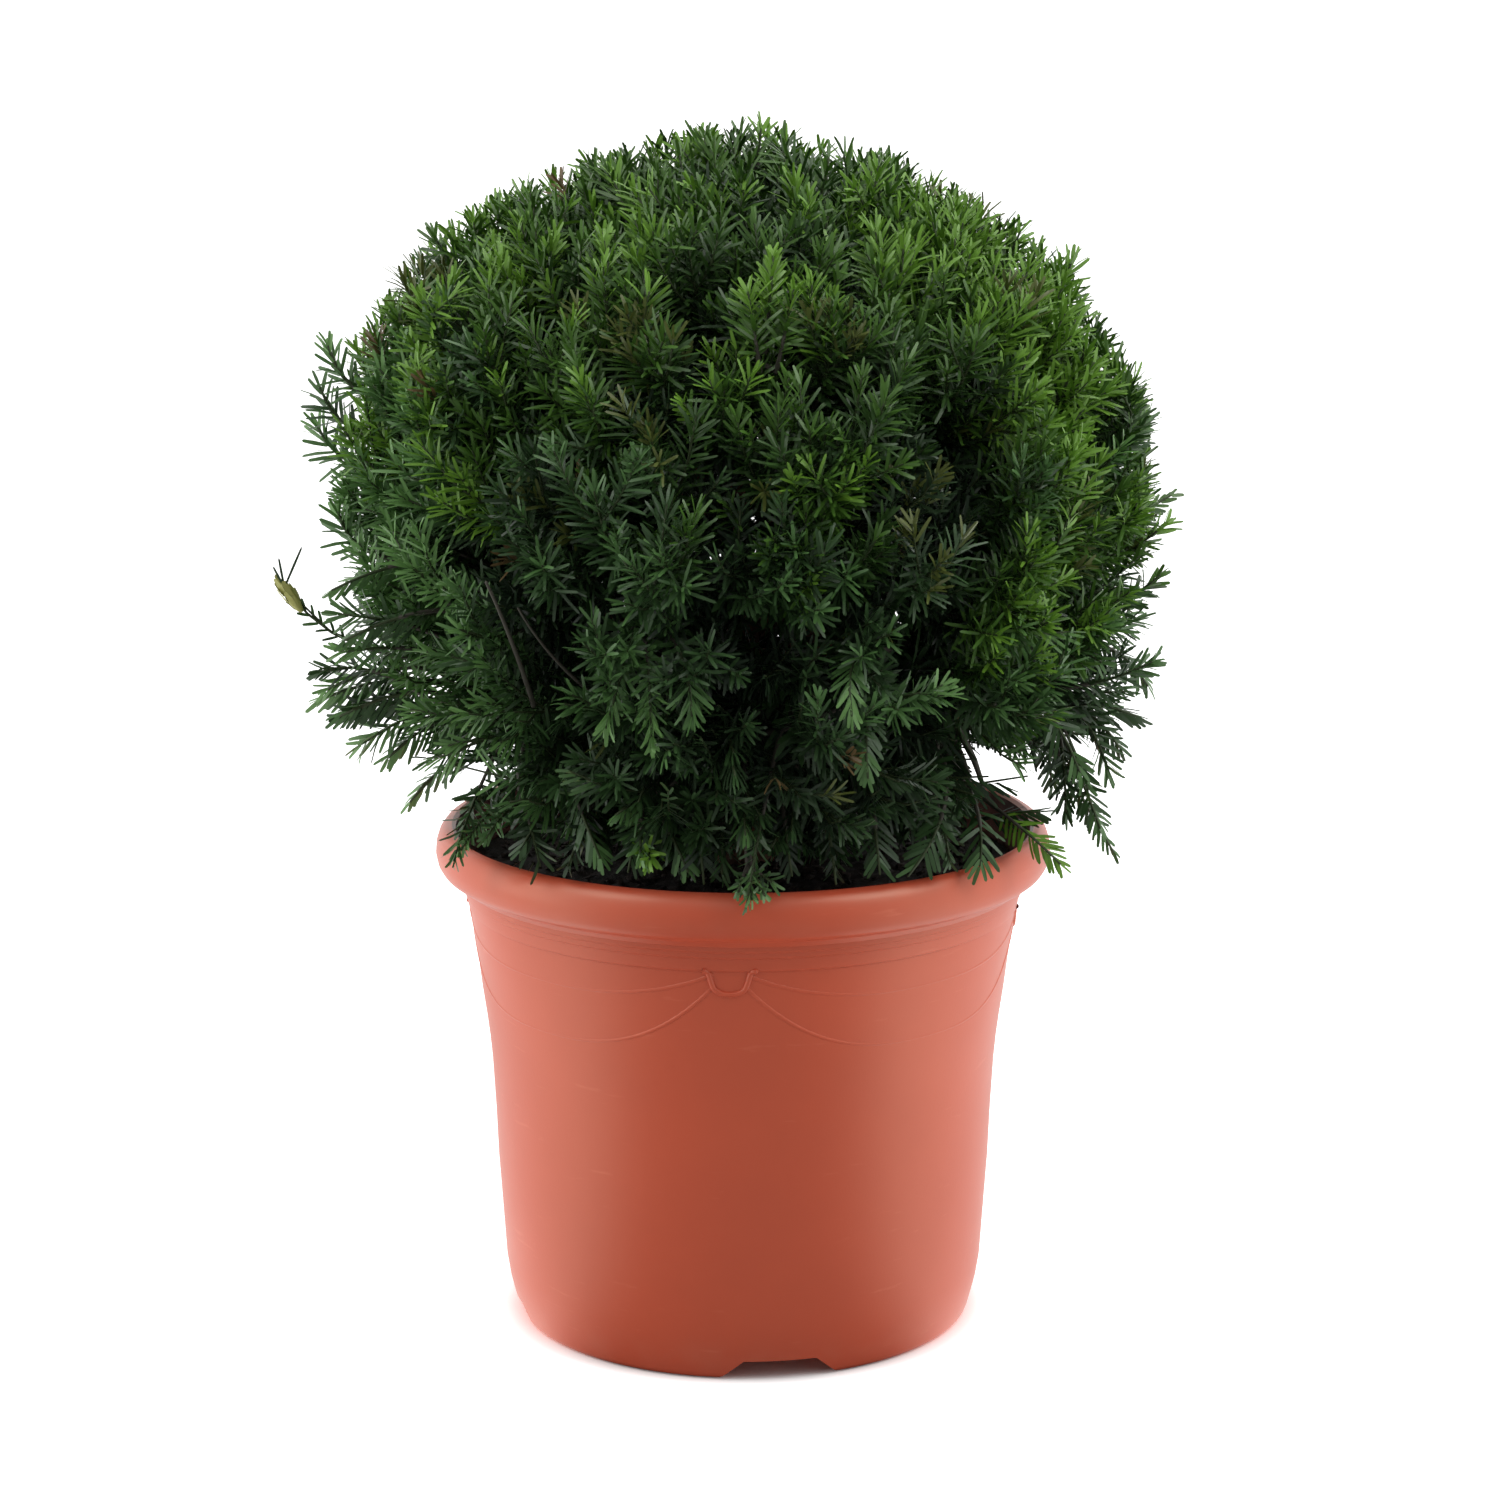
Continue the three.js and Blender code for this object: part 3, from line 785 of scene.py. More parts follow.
@dataclass(frozen=True)
class PlainFinish:
    """A finish of one plain colour with a soft gloss, for needles, young twigs and buds."""

    name: str
    colour: Colour
    roughness: float = 0.38

    def material(self) -> Material:
        """Build the material.

        Returns:
            The material.
        """
        finish = Finish(self.name)
        finish.set(Base_Color=linear(self.colour), Roughness=self.roughness, IOR=1.45)
        finish.set(Specular_IOR_Level=0.55)
        return finish.material


TWIG_FINISHES = (
    PlainFinish("old_twig", (68, 65, 56), 0.7), PlainFinish("young_twig", (52, 66, 34), 0.6),
)


@dataclass
class Pot:
    """Round growing pot: turned shell, rolled rim, notched foot, knots and swags. Millimetres."""

    columns: int = 160
    wall: float = 2.4
    foot_height: float = 10
    foot_width: float = 11
    plate: float = 3
    ring_corner: float = 1.5
    inner_corner: tuple[Pair, ...] = ((112, 3), (109, 0), (0, 0))
    inside_from: float = 8
    sharp_angle: float = 38
    outer: tuple[Pair, ...] = (
        (108, 0), (110.2, 0.4), (111.7, 1.6), (112.6, 3.5), (114.4, 10), (116.4, 18), (118, 28), (119.7, 54),
        (121.4, 79), (122.4, 104), (123.8, 129), (124.9, 141), (126.4, 153), (128.3, 166), (130.5, 184),
        (132.6, 198), (133.2, 204), (133.4, 207.2), (134.4, 207.8), (134.8, 209.5), (135.3, 213.8),
        (136.2, 214.4), (136.5, 217.0), (137.4, 217.6), (137.7, 220.0), (138.6, 220.6),
    )
    rim: tuple[Pair, ...] = (
        (139.4, 222.4), (141.6, 223.8), (145, 225), (147.4, 226.8), (149.1, 229.6), (150, 234),
        (149.6, 238.5), (148.3, 242.6), (146.3, 245.4), (144.2, 246.8), (142, 247), (140.2, 245.6),
        (139.3, 242), (138, 232), (136.4, 222), (134.6, 214),
    )
    notch_turn: float = -81
    notch_floor: float = 62
    notch_top: float = 35
    notch_below: float = 2
    notch_depths: Pair = (125, 90)
    knot_turn: float = -92.6
    knot_line: tuple[Pair, ...] = (
        (-12.2, 208.0), (-9.8, 207.2), (-8.6, 202.4), (-7.2, 198.2), (-3.0, 196.2), (3.0, 196.2),
        (7.2, 198.2), (8.6, 202.4), (9.8, 207.2), (12.2, 208.0),
    )
    knot_rounds: int = 3
    knot_bar: float = 1.35
    knot_proud: float = -0.2
    knot_height: float = 200
    rib_sides: int = 10
    swag_steps: int = 48
    rib_radius: float = 1.6
    rib_proud: Pair = (-1.22, -1.48)
    swag_drops: tuple[Pair, ...] = ((205.6, 192), (199.7, 165.5))
    swag_inset: float = 7.6 / 133
    swag_curl: float = 3.1

    def wall_radius(self, height: Array | float) -> Array:
        """Radius of the outer wall at heights, in millimetres."""
        return np.interp(height, [z for _, z in self.outer], [r for r, _ in self.outer])

    def profile(self) -> list[Pair]:
        """Closed section of the shell, from the axis out, over the rim and back to the axis.

        Returns:
            Its corners as (radius, height).
        """
        under = self.foot_height
        floor = under + self.plate
        ring = self.outer[0][0] - self.foot_width
        corner = self.ring_corner
        base = [(0, under), (ring - corner, under), (ring, under - corner), (ring, 0)]
        inside = [(r - self.wall, z) for r, z in self.outer if z > floor + self.inside_from]
        bottom = [(r, floor + rise) for r, rise in self.inner_corner]
        return [*base, *self.outer, *self.rim, *reversed(inside), *bottom]

    def shell(self) -> MeshParts:
        """Turn the section about the axis.

        Returns:
            The shell with the outside as look 0 and the inside as look 1.
        """
        section = np.array(self.profile()) * MM
        ring = section[1:-1]
        angles = np.arange(self.columns) * TURN / self.columns
        points = about_z(ring[:, :1], angles, ring[:, 1:]).reshape(-1, 3)
        poles = np.array([[0, 0, section[0, 1]], [0, 0, section[-1, 1]]])
        triangles = [
            fan(0, self.columns, len(points))[:, ::-1],
            between_rings(len(ring), self.columns),
            fan(len(points) - self.columns, self.columns, len(points) + 1),
        ]
        inner_start = len(self.outer) + len(self.rim) - 2
        inside = np.repeat(np.arange(len(ring) - 1) >= inner_start, 2 * self.columns)
        looks = np.concatenate([np.zeros(self.columns), inside, np.ones(self.columns)]).astype(int)
        parts = MeshParts()
        parts.add(np.concatenate([points, poles]), np.concatenate(triangles), looks)
        return parts

    def cutters(self) -> bpy.types.Object:
        """Wedges that cut the four notches of the foot.

        Returns:
            A helper object, removed after the cut.
        """
        parts = MeshParts()
        wide, narrow = self.notch_floor / 2, self.notch_top / 2
        low, high = -self.notch_below, self.foot_height
        flat = [(-wide, low), (wide, low), (narrow, high), (-narrow, high)]
        faces = np.array([
            (0, 1, 2), (0, 2, 3), (4, 6, 5), (4, 7, 6), (0, 4, 5), (0, 5, 1), (1, 5, 6), (1, 6, 2),
            (2, 6, 7), (2, 7, 3), (3, 7, 4), (3, 4, 0),
        ])
        for azimuth in quarters(self.notch_turn):
            out = about_z(1, azimuth, 0)
            aside = np.array([-out[1], out[0], 0])
            corners = [out * d + aside * across + UP * z for d in self.notch_depths for across, z in flat]
            parts.add(np.array(corners) * MM, faces)
        mesh = bpy.data.meshes.new("notch_cutters")
        mesh.from_pydata(np.concatenate(parts.points).tolist(), [], np.concatenate(parts.triangles).tolist())
        return placed("notch_cutters", mesh)

    def rib(self, azimuth: Array, height: Array, proud: Array | float, radius: float) -> tuple:
        """Points in metres and triangles of a round rib whose axis stands so far proud of the wall."""
        path = about_z(self.wall_radius(height) + proud, azimuth, height)[None] * MM
        return tubes(path, np.full((1, len(height)), radius * MM), self.rib_sides)

    @staticmethod
    def rounded(line: Array, times: int) -> Array:
        """Round an open line by cutting its corners again and again.

        Args:
            line: Points as rows.
            times: Number of rounds.

        Returns:
            The rounded line.
        """
        for _ in range(times):
            early = line[:-1] * 0.75 + line[1:] * 0.25
            late = line[:-1] * 0.25 + line[1:] * 0.75
            cut = np.stack([early, late], axis=1).reshape(-1, 2)
            line = np.concatenate([line[:1], cut, line[-1:]])
        return line

    def swags(self) -> MeshParts:
        """Thin raised ribs that swing from each knot to the next, two to a side.

        Returns:
            The joined ribs.
        """
        parts = MeshParts()
        share = np.linspace(0, 1, self.swag_steps)
        sag = 1 - np.abs(2 * share - 1) ** self.swag_curl
        near, far = self.rib_proud
        proud = near + (far - near) * np.sin(math.pi * share) ** 2
        for start in quarters(self.knot_turn):
            azimuth = start + self.swag_inset + (TURN / 4 - 2 * self.swag_inset) * share
            for top, low in self.swag_drops:
                parts.add(*self.rib(azimuth, top + (low - top) * sag, proud, self.rib_radius))
        return parts

    def knots(self) -> MeshParts:
        """U-shaped tabs with flared ears, hanging from the collar.

        Returns:
            The joined tabs.
        """
        parts = MeshParts()
        line = self.rounded(np.array(self.knot_line), self.knot_rounds)
        for start in quarters(self.knot_turn):
            azimuth = start + line[:, 0] / self.wall_radius(self.knot_height)
            parts.add(*self.rib(azimuth, line[:, 1], self.knot_proud, self.knot_bar))
        return parts

    def build(self, effects: EffectKit) -> None:
        """Make the pot's pieces.

        Args:
            effects: The shared effect groups.
        """
        outside = PotPlastic().material(effects)
        inside = POT_INSIDE.material(effects)
        pot = self.shell().piece("pot_shell", [outside, inside], Slot.POT, ("pot",))
        cutter = self.cutters()
        cut = pot.modifiers.new("notches", "BOOLEAN")
        cut.operation = "DIFFERENCE"
        cut.solver = "EXACT"
        cut.object = cutter
        evaluated = pot.evaluated_get(bpy.context.evaluated_depsgraph_get())
        pot.data = bpy.data.meshes.new_from_object(evaluated)
        pot.modifiers.clear()
        bpy.data.objects.remove(cutter)
        pot.data.set_sharp_from_angle(angle=math.radians(self.sharp_angle))
        self.swags().piece("pot_swags", [outside], Slot.POT)
        self.knots().piece("pot_knots", [outside], Slot.POT)


@dataclass
class PottingMix:
    """Surface of the potting mix, a little below the rim, with loose bark chips. Millimetres."""

    pot: Pot
    top: float = 228
    edge_top: float = 225
    flat_radius: float = 60
    radius: float = 134.4
    rings: int = 34
    columns: int = 120
    lumps: float = 0.7
    highest_lump: float = 1.6
    pot_gap: float = 0.3
    chips: int = 900
    chip_spread: Pair = (0.02, 0.94)
    chip_margin: float = 6
    chip_lie: Triple = (1, 1, 0.35)
    chip_roll: Triple = (0, 0, 0.2)
    chip_lengths: Pair = (2.5, 8)
    chip_breadth: float = 0.42
    chip_thickness: float = 0.8
    chip_form: tuple[Point, ...] = (
        (-1, -0.6, 0), (-0.7, 0.5, 0), (1, 0.4, 0), (0.8, -0.5, 0), (0.1, 0, 1), (0, 0, -1),
    )
    side_heights: tuple[float, ...] = (206, 184, 153, 104, 54, 28, 17)

    def height(self, radius: Array) -> Array:
        """Height of the smooth surface at a radius, in millimetres."""
        return np.interp(radius, [self.flat_radius, self.radius], [self.top, self.edge_top])

    def build(self, effects: EffectKit) -> None:
        """Make the surface, its side down the pot and the chips.

        Args:
            effects: The shared effect groups.
        """
        random = np.random.default_rng(SEED)
        radius = np.linspace(2, self.radius, self.rings)[:, None]
        angles = np.arange(self.columns) * TURN / self.columns
        bumps = random.normal(0, self.lumps, (self.rings, self.columns))
        bumps[-1] = 0
        bumps = np.clip(bumps, -self.highest_lump, self.highest_lump)
        surface = about_z(radius, angles, self.height(radius) + bumps)
        levels = np.array(self.side_heights)[:, None]
        side = about_z(self.pot.wall_radius(levels) - self.pot.wall - self.pot_gap, angles, levels)
        rows = np.concatenate([surface, side])
        cap = fan(0, self.columns, rows.size // 3)
        sides = between_rings(len(rows), self.columns)[:, [0, 2, 1]]
        parts = MeshParts()
        points = np.concatenate([rows.reshape(-1, 3), [[0, 0, self.top]]]) * MM
        parts.add(points, np.concatenate([sides, cap]))
        parts.piece("potting_mix_surface", [DARKENED_MIX.material(effects)], Slot.MIX, ("potting_mix",))
        self.chip_piece(random).piece("bark_chips", [BARK_CHIP.material(effects)], Slot.MIX)

    def chip_piece(self, random: Random) -> MeshParts:
        """Scatter flat bark chips on the surface.

        Args:
            random: Seeded generator.

        Returns:
            The joined chips.
        """
        count = self.chips
        distance = np.sqrt(random.uniform(*self.chip_spread, count)) * (self.radius - self.chip_margin)
        spot = about_z(distance, random.uniform(0, TURN, count), self.height(distance) + self.chip_thickness)
        along = unit(random.normal(0, 1, (count, 3)) * self.chip_lie)
        over = unit(np.cross(along, unit(random.normal(0, 1, (count, 3)) + self.chip_roll)))
        thick = np.cross(along, over)
        length = random.uniform(*self.chip_lengths, count)[:, None]
        breadth, thickness = self.chip_breadth, self.chip_thickness
        corners = []
        for a, b, c in self.chip_form:
            side = spot + along * length * a / 2 + over * length * b * breadth
            corners.append(side + thick * c * thickness)
        points = np.stack(corners, axis=1) * MM
        faces = np.array([
            (0, 1, 4), (1, 2, 4), (2, 3, 4), (3, 0, 4), (1, 0, 5), (2, 1, 5), (3, 2, 5), (0, 3, 5),
        ])
        parts = MeshParts()
        parts.add(points, faces[None] + (np.arange(count) * len(self.chip_form))[:, None, None])
        return parts


@dataclass(frozen=True)
class BarkRelief:
    """Long flakes and furrows of bark: waves that run up a limb, each with its own number of crests.

    depth is the relief in metres on a limb of the full radius, and thinner limbs have less.
    """

    depth: float
    crests: tuple[int, ...] = (2, 3, 5, 7, 9)
    paces: Pair = (4, 14)
    stretch: float = 3
    seed_step: int = 31
    sway: float = 1.5
    grain: float = 0.16
    least: float = 0.15
    full_radius: float = 17 * MM
    strength: float = 0.45

    def raise_on(self, body: Array, line: Array) -> None:
        """Raise the relief on a limb, in place.

        Args:
            body: Points as steps, sides and x, y, z.
            line: Axis of the limb.
        """
        steps, sides = body.shape[:2]
        random = np.random.default_rng(steps * self.seed_step + sides)
        angle = np.arange(sides) * TURN / sides
        height = np.linspace(0, 1, steps)[:, None]
        wave = np.zeros((steps, sides))
        for crests in self.crests:
            phase, pace = random.uniform(0, TURN), random.uniform(*self.paces)
            sway = self.sway * np.sin(pace * height * self.stretch + phase)
            wave += np.sin(crests * angle + phase + sway) / crests
        wave += random.normal(0, self.grain, (steps, sides))
        away = body - line[:, None]
        fade = self.least + (1 - self.least) * np.linalg.norm(away, axis=-1) / self.full_radius
        body += unit(away) * (wave * self.depth * fade * self.strength)[..., None]

    def limb(self, line: Array, radii: Array, sides: int, foot: float | None = None) -> MeshParts:
        """Make a limb with its bark.

        Args:
            line: Axis of the limb, as rows.
            radii: Radius at each point of the axis.
            sides: Number of sides.
            foot: Height at which the first ring is cut level, if it is.

        Returns:
            The limb.
        """
        points, triangles = tubes(line[None], radii[None], sides)
        body = points[0, :-1].reshape(len(line), sides, 3)
        if foot is not None:
            body[0, :, 2] = foot
        self.raise_on(body, line)
        if foot is not None:
            body[0, :, 2] = foot
        points[0, :-1] = body.reshape(-1, 3)
        parts = MeshParts()
        parts.add(points, triangles)
        return parts


@dataclass
class Trunk:
    """Short leaning trunk with a root flare, from its flat cut on the mix. Millimetres."""

    path: tuple[Point, ...] = (
        (-1, 1, 216), (5, -3, 285), (-2, 4, 350), (-4, 2, 415), (1, 0, 466),
    )
    flare: float = 17
    foot: float = 11.5
    tip: float = 4
    flare_length: float = 0.06
    cut: float = 228.3
    cut_gap: float = 0.4
    relief: float = 1.0
    steps: int = 110
    fine_steps: int = 120
    sides: int = 40

    def line(self, steps: int) -> Array:
        """Smooth path from the foot to the tip.

        Args:
            steps: Number of points.

        Returns:
            The points in metres, as rows.
        """
        knots = np.array(self.path)
        ends = [2 * knots[0] - knots[1], *knots, 2 * knots[-1] - knots[-2]]
        points = []
        for share in np.linspace(0, len(knots) - 1, steps):
            i = min(int(share), len(knots) - 2)
            t = share - i
            a, b, c, d = ends[i], ends[i + 1], ends[i + 2], ends[i + 3]
            curved = 2 * b + (c - a) * t + (2 * a - 5 * b + 4 * c - d) * t**2 + (3 * b - a - 3 * c + d) * t**3
            points.append(curved / 2)
        return np.array(points) * MM

    def radius(self, share: Array) -> Array:
        """Radius at a share of the length, in metres."""
        flare = (self.flare - self.foot) * np.exp(-share / self.flare_length)
        return (self.foot + (self.tip - self.foot) * share + flare) * MM

    def at(self, height: float) -> Array:
        """Point of the axis at a height in metres."""
        line = self.line(self.fine_steps)
        return np.array([np.interp(height, line[:, 2], line[:, part]) for part in range(3)])

    def build(self, bark: Material) -> None:
        """Make the trunk with its bark in relief.

        Args:
            bark: The bark material.
        """
        foot = self.cut * MM
        line = self.line(self.steps)
        line = line[line[:, 2] > foot + self.cut_gap * MM]
        line = np.concatenate([[[*self.at(foot)[:2], foot]], line])
        radii = self.radius(np.linspace(0, 1, len(line)))
        limb = BarkRelief(self.relief * MM).limb(line, radii, self.sides, foot)
        limb.piece("trunk_bark", [bark], Slot.BARK, ("trunk",))


@dataclass
class Boughs:
    """The boughs, one tapering limb from the trunk to each mass's hub."""

    trunk: Trunk
    form: CrownForm
    arch: float = 0.4
    stem_end: float = 0.7
    gap: float = 0.3 * MM
    hidden: float = 0.1
    relief: float = 1.2 * MM
    steps: int = 26
    sides: int = 14

    def stem(self, mass: Mass) -> tuple[Array, Array]:
        """Start and end of a mass's stem."""
        end = self.form.point(np.array(mass.azimuth), np.array(mass.middle), np.array(self.stem_end))
        return mass.hub, end

    def build(self, masses: list[Mass], bark: Material) -> None:
        """Make every bough with its bark in relief.

        Args:
            masses: The foliage masses.
            bark: The bark material.
        """
        share = np.linspace(self.hidden, 1, self.steps)
        relief = BarkRelief(self.relief)
        for mass in masses:
            hub, end = self.stem(mass)
            outward = unit(end - hub)
            tip = hub - outward * self.gap
            root = self.trunk.at(mass.root_height)
            knee = tip - outward * self.arch * np.linalg.norm(tip - root)
            line = Arches(root[None], knee[None], tip[None]).at(np.zeros(len(share), dtype=int), share)
            radius = mass.root_radius + (mass.hub_radius - mass.root_radius) * share
            limb = relief.limb(line, radius, self.sides)
            limb.piece(f"bough_bark_{mass.name}", [bark], Slot.BARK, (f"bough_{mass.name}",))


TIP_TINT = {
    Tint.DEEP: Tint.SHADE, Tint.SHADE: Tint.LEAF, Tint.LEAF: Tint.BRIGHT, Tint.BRIGHT: Tint.FRESH,
}


@dataclass(frozen=True)
class LooseSpray:
    """A spray that leaves its band, as in the solids: it leaves the core at (azimuth, elevation)."""

    mass: str
    leaves: Pair
    bend: Point
    tip: Point
    flat: bool = True
    tint: Tint = Tint.LEAF
    droop: float = -0.6
    size: float = 1.0
    sparse: float = 1.0


LOOSE_SPRAYS = (
    LooseSpray("skirt_6", (348, -28), (160, -34, 268), (178, -38, 240), size=0.7, sparse=1.2),
    LooseSpray("skirt_5", (278, -34), (8, -152, 284), (2, -158, 246), flat=False, size=0.6, sparse=1.3),
    LooseSpray("skirt_4", (212, -34), (-126, -100, 284), (-134, -102, 252), flat=False, size=0.8),
    LooseSpray("skirt_4", (196, -27), (-190, -55, 334), (-213, -60, 372), droop=0.0, size=0.62, sparse=2.0),
    LooseSpray("waist_1", (14, -5), (185, 52, 380), (212, 62, 397)),
)


@dataclass(frozen=True)
class Patch:
    """A soft round place on the crown, seen in the photograph at the pixel (u, v).

    spread is its radius in degrees about the crown's centre, and amount is its strength.
    """

    u: float
    v: float
    spread: float
    amount: float


HOLLOWS = (
    Patch(520, 650, 15, 0.85), Patch(575, 500, 9, 0.7), Patch(760, 690, 10, 0.75),
    Patch(930, 600, 10, 0.75), Patch(880, 480, 7, 0.5), Patch(706, 285, 6, 0.7), Patch(690, 450, 7, 0.6),
    Patch(1000, 365, 6, 0.6), Patch(430, 560, 7, 0.5), Patch(560, 330, 6, 0.4), Patch(900, 760, 9, 0.6),
    Patch(830, 370, 6, 0.5), Patch(360, 720, 15, 0.85), Patch(1090, 740, 13, 0.6), Patch(973, 465, 7, 0.8),
)
# Places of young growth that lighten the shoots' tints; set where the crown shows brightest, they also paint
# light.
FRESH_PLACES = (
    Patch(1050, 250, 13, 0.60), Patch(1110, 400, 10, 0.85), Patch(880, 180, 12, 0.35),
    Patch(975, 300, 7, 0.5), Patch(1100, 340, 7, 0.95), Patch(770, 290, 6, 0.75), Patch(850, 700, 5, 0.20),
    Patch(610, 590, 6, 0.3), Patch(800, 605, 8, 0.4), Patch(640, 690, 8, 0.25), Patch(400, 590, 8, 0.3),
    Patch(345, 490, 14, 0.45), Patch(370, 680, 14, 0.6), Patch(1090, 640, 14, 0.25),
    Patch(600, 170, 9, 0.25),
)
OLIVE_PLACES = (
    Patch(600, 310, 7, 0.8), Patch(1000, 440, 12, 0.7), Patch(620, 420, 8, 0.7), Patch(800, 480, 8, 0.6),
    Patch(690, 350, 8, 0.4), Patch(900, 650, 5, 0.8), Patch(500, 480, 8, 0.4), Patch(860, 330, 7, 0.2),
)


@dataclass(frozen=True)
class ShownSpray:
    """A spray placed by the photograph: pixel column, pixel row and Y in millimetres of its points.

    Its needles stand in two rows if it is flat, and all round it if not. droop tells how far they
    turn down, size how large they are, and sparse how far apart they stand.
    """

    start: Point
    bend: Point
    tip: Point
    tint: Tint = Tint.LEAF
    flat: bool = True
    droop: float = -0.9
    size: float = 1.0
    sparse: float = 1.0


